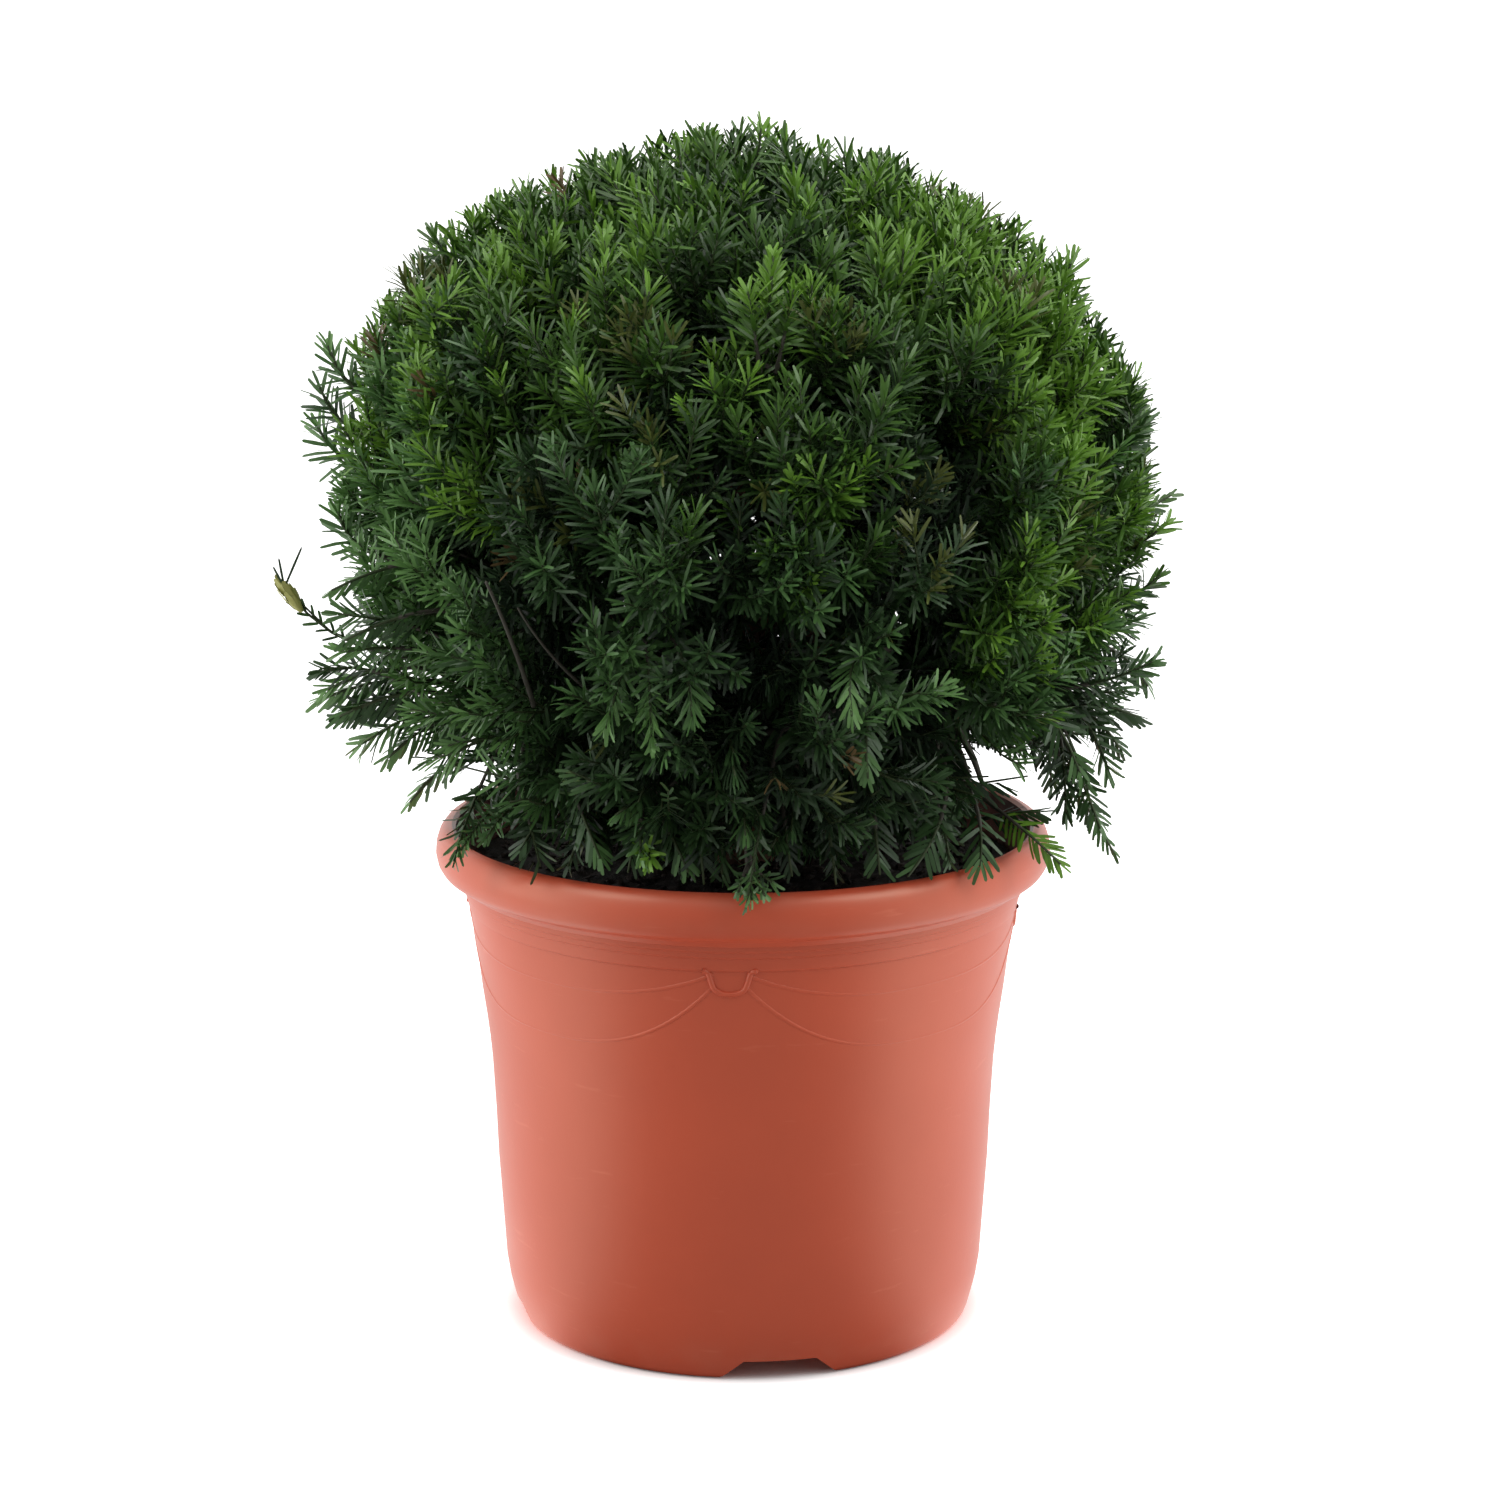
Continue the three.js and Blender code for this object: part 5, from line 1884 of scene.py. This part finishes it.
@dataclass(frozen=True)
class StrayBud:
    """The swollen bud that ends the stray shoot, placed by the photograph as the shown sprays are.

    Its scales are short broad needles, sized as (length, width) in metres.
    """

    home: str = "skirt_4"
    foot: Point = (302, 612, -60)
    head: Point = (282, 584, -60)
    girths: tuple[float, ...] = (0.0009, 0.0022, 0.0029, 0.0027, 0.0017, 0.0006)
    sides: int = 8
    scales: int = 14
    scale_span: Pair = (0.02, 0.8)
    scale_lean: Pair = (0.1, 0.35)
    scale_size: Pair = (0.0085, 0.0024)
    scale_turn: float = 2.4
    long_needles: tuple[Point, ...] = ((299, 544, -62), (270, 563, -58), (276, 556, -66))
    long_width: float = 0.0012
    long_inset: float = 2 * MM
    bend: float = 0.10

    def grow(self, parts: MeshParts, studio: Studio, random: Random) -> None:
        """Add the bud, its scales and the long needles at its tip.

        Args:
            parts: Where the needles are gathered.
            studio: The studio, which turns pixels into places.
            random: Seeded generator.
        """
        foot, head = studio.at_depth(self.foot), studio.at_depth(self.head)
        steps = np.linspace(0, 1, len(self.girths))
        path = foot + (head - foot) * steps[:, None]
        parts.add(*tubes(path[None], np.array(self.girths)[None], self.sides), Tint.BUD.number)
        share = np.linspace(*self.scale_span, self.scales)
        along = unit(head - foot)
        around, _ = around_axis(along, UP, np.arange(self.scales) * self.scale_turn)
        girth = np.interp(share, steps, self.girths)
        spot = foot + (head - foot) * share[:, None] + around * girth[:, None]
        heading = unit(along + around * random.uniform(*self.scale_lean, self.scales)[:, None])
        tips = np.array([studio.at_depth(tip) for tip in self.long_needles])
        scale_length, scale_width = self.scale_size
        spot = np.concatenate([spot, np.broadcast_to(head - along * self.long_inset, tips.shape)])
        length = np.concatenate([np.full(self.scales, scale_length), np.linalg.norm(tips - head, axis=1)])
        heading = np.concatenate([heading, unit(tips - head)])
        facing = np.concatenate([around, np.broadcast_to([0.0, -1.0, 0.0], tips.shape)])
        facing = square_to(facing, heading)
        shape = NeedleShape()
        scale = np.arange(len(spot)) < self.scales
        width = np.where(scale, scale_width, self.long_width)
        points = shape.blades(spot, heading, facing, length, width, np.full(len(spot), self.bend))
        shape.gather(parts, points, np.where(scale, Tint.BUD.number, Tint.SHADE.number))


@dataclass
class Looks:
    """Materials of the foliage."""

    needles: list[Material]
    wood: list[Material]


@dataclass(frozen=True)
class TintRule:
    """How the light on a shoot deals out its tints, as painted light and shade.

    A shoot gets a lighter tint the further out and the higher it ends, at both sides of the crown,
    on its left and in the fresh places, and a darker one deep inside and in the middle of the front
    and the back: partly younger and older growth, mostly painted light and painted shade. limits part
    the tints from deep to fresh, and needles near the tip are a step lighter. Some tips are olive or
    russet, and greens low on the crown and on its left are greyer, a painted sheen.
    """

    outward: float = 3.8
    outward_from: float = 0.87
    upward: float = 0.32
    sideways: float = 0.46
    leftward: float = 0.06
    dimmed: float = 0.13
    stray: float = 0.08
    family_stray: float = 0.20
    limits: tuple[float, ...] = (-0.22, 0.06, 0.42, 0.80)
    tip_step: float = 0.30
    olive_chance: Pair = (0.6, 0.04)
    russet_chance: float = 0.006
    grey_below: float = 0.12
    grey_slant: float = 0.3

    def deal(
        self, ways: Array, share: Array, family: Array, places: Places,
        random: Random
    ) -> tuple[Array, Array]:
        """Deal out the tints.

        Args:
            ways: Unit directions from the crown's centre to the shoots' tips, as rows.
            share: Share of the crown's reach at which they lie.
            family: Number of the branchlet that each shoot grows on.
            places: The crown's fresh and olive places.
            random: Seeded generator.

        Returns:
            The tint numbers of the shoots and of their tips.
        """
        families = family.max() + 1
        fresh = places.strength(FRESH_PLACES, ways)
        olive = places.strength(OLIVE_PLACES, ways)
        # Painted light and shade: lighter at both sides, on the left, high up, far out and in the fresh
        # places.
        aside = self.sideways * np.abs(ways[:, 0]) - self.leftward * ways[:, 0] - self.dimmed
        light = self.outward * (share - self.outward_from) + self.upward * ways[:, 2] + aside + fresh
        light += random.normal(0, self.stray, len(ways))
        mood = random.normal(0, self.family_stray, families)[family]
        light += mood
        tints = np.digitize(light, self.limits)
        tips = np.digitize(light + self.tip_step, self.limits)
        by_place, anywhere = self.olive_chance
        browned = random.uniform(0, 1, families)[family] < by_place * olive + anywhere
        tips = np.where(browned & (tips >= Tint.LEAF.number), Tint.OLIVE.number, tips)
        rusty = random.uniform(0, 1, len(ways)) < self.russet_chance
        tips = np.where(rusty, Tint.RUSSET.number, tips)
        return self.greyed(tints, ways, mood), self.greyed(tips, ways, mood)

    def greyed(self, tints: Array, ways: Array, mood: Array) -> Array:
        """Swap greens for greyer ones low on the crown and on its left, each shoot by its mood, as painted
        sheen.
        """
        grey = ways[:, 2] + self.grey_slant * ways[:, 0] + mood < self.grey_below
        return np.where(grey, GREYER[tints], tints)


@dataclass
class Foliage:
    """Grows the branchlets, shoots and needles of one mass after another. Sizes in metres.

    Shares are of the crown's reach or of a branchlet's length, and pairs are the ends of a range.
    """

    form: CrownForm
    boughs: Boughs
    places: Places
    looks: Looks
    tinting: TintRule = TintRule()
    bud: StrayBud = StrayBud()
    pitch: float = 0.0238
    core_draws: int = 12
    jitter: float = 0.3
    inset: float = 0.9
    fine_inset: float = 0.97
    shortfall: float = 0.09
    fine_shortfall: float = 0.07
    thinning: float = 0.8
    hollow_depth: float = 0.13
    gap_edges: Pair = (0.17, 0.53)
    gap_span: Pair = (0, 45)
    gap_depths: Pair = (0.24, 0.15)
    gather: float = 0.75
    lift: float = math.radians(7)
    root_drops: Pair = (0.8, 3.2)
    root_share: float = 0.54
    root_strays: Pair = (0.9, 1.1)
    outer_share: float = 0.965
    side_share: float = 0.925
    hem: float = math.radians(11)
    lowest_root: float = 0.262
    lowest_tip: float = 0.250
    mouth_tip: float = 0.236
    mouth_radius: float = 0.128
    lean_stray: float = 9
    turn_stray: float = 0.22
    knee_share: float = 0.5
    side_shoots: int = 4
    side_start: float = 0.34
    side_room: float = 0.52
    side_turns: Pair = (0.5, 0.5)
    side_spread: Pair = (24, 42)
    side_strays: Pair = (0.8, 1.15)
    side_length: Pair = (0.56, 0.26)
    side_way: Triple = (0.85, 0.22, 0.20)
    checks: int = 12
    terminal_cut: float = 0.42
    single_cuts: Pair = (0.2, 0.35)
    single_pitch: float = 0.0011
    single_breadth: float = 1.25
    single_limit: float = 1.4
    single_rise: float = 0.45
    flat_chance: Triple = (0.1, 1.6, 0.85)
    droops: Pair = (-1.3, -0.2)
    face_lean: Triple = (0.3, 1.0, 0.0)
    face_share: float = 0.7
    clump: float = 0.044
    stem_tip: float = 0.0016
    stem_steps: int = 8
    stem_sides: int = 10
    limb_starts: Pair = (0.2, 1.0)
    limb_rise: float = 0.008
    limb_radii: Pair = (0.0019, 0.0013)
    branchlet_radii: Pair = (0.0013, 0.0006)
    branchlet_steps: int = 7
    shoot_radii: Pair = (0.0008, 0.0005)
    leans: tuple[Pair, ...] = (
        (-70, -35), (-35, -8), (-15, 24), (0, 48), (20, 66), (45, 78), (90, 90),
    )

    def main_aims(self, mass: Mass, numbers: SeededNumbers) -> tuple[Array, ...]:
        """Aims of the mass's main sprays, drawn as in the solids.

        Args:
            mass: The mass.
            numbers: Its seeded numbers.

        Returns:
            Azimuths, elevations and shares of the reach.
        """
        for _ in range(self.core_draws):
            numbers.next()
        aims = []
        for row, columns in enumerate(mass.rows):
            for column in range(columns):
                up = (row + 0.5 + self.jitter * (numbers.next() - 0.5)) / len(mass.rows)
                side = (column + 0.5 + self.jitter * (numbers.next() - 0.5)) / columns * 2 - 1
                azimuth = mass.azimuth + side * mass.half_width * self.inset
                aims.append((azimuth, mass.low + (mass.high - mass.low) * up))
        rows = []
        for azimuth, elevation in aims:
            rows.append((azimuth, elevation, 1 - self.shortfall * numbers.next()))
            numbers.next()
        return tuple(np.array(rows).T)

    def fine_aims(self, mass: Mass, random: Random) -> tuple[Array, ...]:
        """Aims of the finer branchlets, spread over the mass's space and thinned in its hollows.

        Args:
            mass: The mass.
            random: Seeded generator.

        Returns:
            Azimuths, elevations and shares of the reach.
        """
        reach = float(self.form.reach(np.array(mass.azimuth), np.array(mass.middle)))
        low = mass.low - self.hem if mass.low < -self.hem * 4 else mass.low
        rows = max(round((mass.high - low) * reach / self.pitch), 1)
        found = []
        for row in range(rows):
            level = low + (mass.high - low) * (row + 0.5) / rows
            width = 2 * mass.half_width * reach * math.cos(level)
            columns = max(round(width / self.pitch), 1)
            up = level + random.uniform(-0.5, 0.5, columns) * (mass.high - low) / rows
            side = (np.arange(columns) + random.uniform(0, 1, columns)) / columns * 2 - 1
            azimuth = mass.azimuth + side * mass.half_width * self.fine_inset
            share = 1 - self.fine_shortfall * random.uniform(0, 1, columns)
            found.append(np.stack([azimuth, up, share]))
        azimuth, elevation, share = np.concatenate(found, axis=1)
        share = share - self.gaps(azimuth, elevation)
        hollow = self.places.strength(HOLLOWS, direction(azimuth, elevation))
        kept = random.uniform(0, 1, len(share)) > hollow * self.thinning
        share = share - self.hollow_depth * hollow
        return azimuth[kept], elevation[kept], share[kept]

    def gaps(self, azimuth: Array, elevation: Array) -> Array:
        """How far aims between two clumps of shoots fall short of the outline.

        The clumps stand in rings at even heights, each drawn a little from its place by a sine.

        Args:
            azimuth: Azimuths in radians.
            elevation: Elevations in radians.

        Returns:
            The shortfall of each aim, as a share of the reach.
        """
        reach = self.form.reaches[0] * MM
        height = elevation * reach / self.clump + 0.25 * np.sin(5 * azimuth)
        ring = np.round(height)
        around = TURN * reach * np.cos(ring * self.clump / reach)
        count = np.maximum(np.round(around / self.clump), 1)
        place = azimuth / TURN * count + 0.5 * ring + 0.3 * np.sin(7 * ring + 3 * azimuth)
        away = np.hypot(height - ring, place - np.round(place))
        depth = np.interp(np.degrees(elevation), self.gap_span, self.gap_depths)
        inner, outer = self.gap_edges
        return depth * np.clip((away - inner) / (outer - inner), 0, 1)

    def branchlets(self, mass: Mass, aims: tuple[Array, ...], random: Random) -> Arches:
        """Branchlets from the shell's inside to their aims.

        Args:
            mass: The mass.
            aims: Azimuths, elevations and shares of the reach.
            random: Seeded generator.

        Returns:
            The branchlets.
        """
        azimuth, elevation, share = aims
        count = len(azimuth)
        tip = self.form.point(azimuth, elevation, share * self.outer_share)
        in_mouth = np.hypot(tip[:, 0], tip[:, 1]) < self.mouth_radius
        tip[:, 2] = np.maximum(tip[:, 2], np.where(in_mouth, self.mouth_tip, self.lowest_tip))
        turned = azimuth - mass.azimuth
        inward = mass.azimuth + np.arctan2(np.sin(turned), np.cos(turned)) * self.gather
        lowered = elevation - self.lift * random.uniform(*self.root_drops, count)
        lowered = np.maximum(lowered, mass.low + self.lift * 0.5)
        root = self.form.point(inward, lowered, self.root_share * random.uniform(*self.root_strays, count))
        root[:, 2] = np.maximum(root[:, 2], self.lowest_root)
        lean = np.interp(np.degrees(elevation), *zip(*self.leans)) + random.normal(0, self.lean_stray, count)
        turned_out = azimuth + random.normal(0, self.turn_stray, count)
        heading = direction(turned_out, np.radians(np.minimum(lean, 90)))
        length = np.linalg.norm(tip - root, axis=1, keepdims=True)
        return Arches(root, tip - heading * length * self.knee_share, tip)

    def side_arches(self, branchlets: Arches, random: Random) -> Arches:
        """Side shoots of the branchlets, turned forward and upward.

        Args:
            branchlets: The branchlets.
            random: Seeded generator.

        Returns:
            The side shoots.
        """
        count = len(branchlets.root)
        which = np.repeat(np.arange(count), self.side_shoots)
        order = np.tile(np.arange(self.side_shoots), count)
        total = len(order)
        share = self.side_start + self.side_room * (order + random.uniform(0, 1, total)) / self.side_shoots
        start = branchlets.at(which, share)
        along = branchlets.along(which, share)
        turned, stray = self.side_turns
        turn = (order % 2) * math.pi + np.repeat(random.uniform(0, TURN, count), self.side_shoots) * turned
        turn = turn + random.normal(0, stray, total)
        around, _ = around_axis(along, UP + SMALL_TILT, turn)
        spread = np.radians(random.uniform(*self.side_spread, total))[:, None]
        heading = unit(along * np.cos(spread) + around * np.sin(spread))
        longest, shrink = self.side_length
        length = branchlets.length()[which] * (longest - shrink * share)
        length = (length * random.uniform(*self.side_strays, total))[:, None]
        ahead, forward, upward = self.side_way
        tip = start + heading * length * ahead + along * length * forward + UP * length * upward
        share_out = self.form.share_of(tip)
        factor = np.minimum(1, self.side_share / np.maximum(share_out, 1e-6))[:, None]
        tip = self.form.centre + (tip - self.form.centre) * factor
        tip[:, 2] = np.maximum(tip[:, 2], self.lowest_tip)
        knee = start + heading * np.linalg.norm(tip - start, axis=1, keepdims=True) * self.knee_share
        return Arches(start, knee, tip)

    def open(self, branchlets: Arches) -> Arches:
        """Those branchlets that cross no opening.

        Args:
            branchlets: The branchlets.

        Returns:
            The branchlets that stay.
        """
        paths = branchlets.paths(self.checks)
        kept = self.places.clear(paths.reshape(-1, 3)).reshape(paths.shape[:2]).all(axis=1)
        return Arches(branchlets.root[kept], branchlets.knee[kept], branchlets.tip[kept])

    def dress_shoots(self, shoots: Arches, family: Array, random: Random) -> NeedleSet:
        """Deal tints to shoots by their place, and settle how their needles stand.

        Args:
            shoots: The shoots.
            family: Number of the branchlet that each shoot grows on.
            random: Seeded generator.

        Returns:
            The shoots with their needles' looks.
        """
        count = len(shoots.root)
        share = self.form.share_of(shoots.tip)
        ways = unit(shoots.tip - self.form.centre)
        tints, tip_tints = self.tinting.deal(ways, share, family, self.places, random)
        start, fall, most = self.flat_chance
        chance = np.clip(-start - fall * ways[:, 2], 0.0, most)
        flat = np.where(random.uniform(0, 1, count) < chance, FLAT, ROUND)
        droop = random.uniform(*self.droops, count)
        face = unit(UP + ways * np.array(self.face_lean) * self.face_share)
        return NeedleSet(shoots, tints, tip_tints, flat, droop, face)

    def old_set(self, branchlets: Arches) -> NeedleSet:
        """Old needles on the inner halves of the branchlets, tinted a lighter grey-green than old needles
        have: painted light in the crown's shaded inside.

        Args:
            branchlets: The branchlets.

        Returns:
            The inner halves with their needles' looks.
        """
        count = len(branchlets.root)
        end = branchlets.at(np.arange(count), np.full(count, 0.5))
        inner = Arches(branchlets.root, branchlets.root * 0.5 + branchlets.knee * 0.5, end)
        # Painted light: a grey-green lighter than old needles, so that the shaded inside shows.
        dull = np.full(count, Tint.GREY_LEAF.number)
        flat = np.full(count, ROUND)
        face = np.broadcast_to(UP, (count, 3))
        return NeedleSet(inner, dull, dull, flat, flat, face, pitch=0.0021, tip_length=0.9, tip_spread=40)

    def build(self, mass: Mass) -> None:
        """Grow one mass and make its pieces.

        Args:
            mass: The mass.
        """
        random = np.random.default_rng(mass.seed)
        main = self.main_aims(mass, SeededNumbers(mass.seed))
        fine = self.fine_aims(mass, random)
        aims = tuple(np.concatenate(pair) for pair in zip(main, fine))
        loose = [spray for spray in LOOSE_SPRAYS if spray.mass == mass.name]
        shown = [spray for spray in SHOWN_SPRAYS if self.home_of(spray) == mass.name]
        branchlets = self.open(self.branchlets(mass, aims, random))
        self.grow(mass.name, branchlets, self.boughs.stem(mass), mass.hub_radius, [*loose, *shown], random)

    def build_top(self, trunk: Trunk) -> None:
        """Grow the crown's top on the trunk's tip.

        Args:
            trunk: The trunk.
        """
        low, high = math.radians(SHOULDER.high), math.radians(90)
        radius = trunk.tip * MM
        top = Mass("crown_top", 0.0, math.pi, low, high, np.zeros(3), 0, 0, radius, (), SEED - 1)
        random = np.random.default_rng(top.seed)
        branchlets = self.open(self.branchlets(top, self.fine_aims(top, random), random))
        start = trunk.line(2)[-1] + UP * self.boughs.gap
        end = self.form.point(np.array(0.0), np.array(high), np.array(self.boughs.stem_end))
        self.grow(top.name, branchlets, (start, end), radius, [], random)

    def home_of(self, spray: ShownSpray) -> str:
        """Name of the mass whose space holds the tip of a spray.

        Args:
            spray: The spray.

        Returns:
            The name, less its foliage prefix.
        """
        away = self.places.studio.at_depth(spray.tip) - self.form.centre
        azimuth = math.degrees(math.atan2(away[1], away[0]))
        elevation = math.degrees(math.atan2(away[2], math.hypot(away[0], away[1])))
        band = next(band for band in BANDS if elevation < band.high or band is SHOULDER)
        number = round((azimuth - band.turn) / 360 * band.count) % band.count
        return f"{band.name}_{number + 1}"

    def single_arches(self, sprays: list[LooseSpray | ShownSpray]) -> Arches:
        """Single sprays as arches.

        Args:
            sprays: The sprays.

        Returns:
            The arches, in the same order.
        """
        found = []
        for spray in sprays:
            if isinstance(spray, ShownSpray):
                spots = [self.places.studio.at_depth(spot) for spot in (spray.start, spray.bend, spray.tip)]
            else:
                root = self.form.point(*np.radians(spray.leaves), np.array(self.boughs.stem_end))
                spots = [root, np.array(spray.bend) * MM, np.array(spray.tip) * MM]
            found.append(spots)
        return Arches(*np.array(found).transpose(1, 0, 2))

    def single_set(self, sprays: list[LooseSpray | ShownSpray]) -> NeedleSet:
        """Needles of the single sprays.

        Args:
            sprays: The sprays.

        Returns:
            The sprays' outer parts with their needles' looks.
        """
        outer = self.single_arches(sprays).ends(self.single_cuts[0])
        tints = np.array([spray.tint.number for spray in sprays])
        tips = np.array([TIP_TINT.get(spray.tint, spray.tint).number for spray in sprays])
        ways = unit(outer.tip - self.form.centre)
        kept = np.where(tints == Tint.FRESH.number, 1.0, 0.0)
        tints, tips = [self.tinting.greyed(each, ways, kept) for each in (tints, tips)]
        flat = np.array([FLAT if spray.flat else ROUND for spray in sprays])
        droop, size, sparse = np.array([(spray.droop, spray.size, spray.sparse) for spray in sprays]).T
        middle = self.places.studio.frame_width / 2
        toward = unit(UP * self.single_rise - self.places.studio.ray(middle, middle))
        face = np.broadcast_to(toward, (len(sprays), 3))
        pitch, breadth = self.single_pitch * sparse, self.single_breadth
        limit = self.single_limit
        return NeedleSet(outer, tints, tips, flat, droop, face, size, pitch, breadth, limit=limit)

    def grow(
        self, name: str, branchlets: Arches, stem: tuple[Array, Array], radius: float,
        single: list[LooseSpray | ShownSpray], random: Random
    ) -> None:
        """Make the needles and the wood of a mass from its branchlets.

        Args:
            name: Name of the mass.
            branchlets: Its branchlets.
            stem: Start and end of its stem.
            radius: Radius of the stem's start.
            single: Its loose and shown sprays.
            random: Seeded generator.
        """
        sides = self.side_arches(branchlets, random)
        shoots = sides.joined(branchlets.ends(self.terminal_cut))
        each = np.arange(len(branchlets.root))
        family = np.concatenate([np.repeat(each, self.side_shoots), each])
        needles = MeshParts()
        count = self.dress_shoots(shoots, family, random).grow(needles, NeedleShape(), self.places, random)
        old = self.old_set(branchlets).grow(needles, OldNeedleShape(), self.places, random)
        if single:
            count += self.single_set(single).grow(needles, NeedleShape(), self.places, random)
        if name == self.bud.home:
            self.bud.grow(needles, self.places.studio, random)
        needles.piece(f"needles_{name}", self.looks.needles, Slot.NEEDLES, (f"foliage_{name}",))
        LOG.info("mass %s: %d shoots, %d needles, %d old needles", name, len(shoots.root), count, old)
        if single:
            arches = self.single_arches(single)
            branchlets = branchlets.joined(arches)
            shoots = shoots.joined(arches.ends(self.single_cuts[1]))
        wood = self.wood(branchlets, stem, radius, random)
        for twig in (twig for twig in SHOWN_TWIGS if twig.mass == name):
            wood.add(*twig.skin(self.places.studio), 1)
        wood.add(*shoots.skin(3, self.shoot_radii, 3), 2)
        wood.piece(f"twigs_{name}", self.looks.wood, Slot.BARK, (f"foliage_{name}",))

    def wood(
        self, branchlets: Arches, stem: tuple[Array, Array], radius: float,
        random: Random
    ) -> MeshParts:
        """Stem, limbs and branchlets of a mass.

        Args:
            branchlets: Its branchlets.
            stem: Start and end of its stem.
            radius: Radius of the stem's start.
            random: Seeded generator.

        Returns:
            The joined wood: bark as look 0, old twigs as look 1 and green ones as look 2.
        """
        wood = MeshParts()
        start, end = stem
        line = start + (end - start) * np.linspace(0, 1, self.stem_steps)[:, None]
        radii = np.linspace(radius, self.stem_tip, self.stem_steps)
        wood.add(*tubes(line[None], radii[None], self.stem_sides))
        share = random.uniform(*self.limb_starts, len(branchlets.root))[:, None]
        begin = start + (end - start) * share
        knee = (begin + branchlets.root) / 2 + unit(end - start) * self.limb_rise
        limbs = Arches(begin, knee, branchlets.root)
        wood.add(*limbs.skin(5, self.limb_radii, 4), 1)
        points = branchlets.paths(self.branchlet_steps)
        radii = branchlets.taper(self.branchlet_steps, self.branchlet_radii)
        half = self.branchlet_steps // 2
        wood.add(*tubes(points[:, :half + 1], radii[:, :half + 1], 4), 1)
        wood.add(*tubes(points[:, half:], radii[:, half:], 3), 2)
        return wood


def main() -> None:
    """Build the plant and its pot, in order."""
    logging.basicConfig(level=logging.INFO, format="%(message)s")
    studio = Studio()
    studio.build()
    effects = EffectKit()
    pot = Pot()
    pot.build(effects)
    PottingMix(pot).build(effects)
    bark = FLAKING_BARK.material(effects)
    twigs = [finish.material() for finish in TWIG_FINISHES]
    tints = [PlainFinish(f"needle_{tint.name.lower()}", tint.value).material() for tint in TINTS]
    form = CrownForm()
    trunk = Trunk()
    trunk.build(bark)
    masses: list[Mass] = []
    for band in BANDS:
        masses += band.masses(SEED + len(masses))
    boughs = Boughs(trunk, form)
    boughs.build(masses, bark)
    foliage = Foliage(form, boughs, Places(studio, form), Looks(tints, [bark, *twigs]))
    for mass in masses:
        foliage.build(mass)
    foliage.build_top(trunk)
    bpy.context.view_layer.update()
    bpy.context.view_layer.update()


if __name__ == "__main__":
    main()
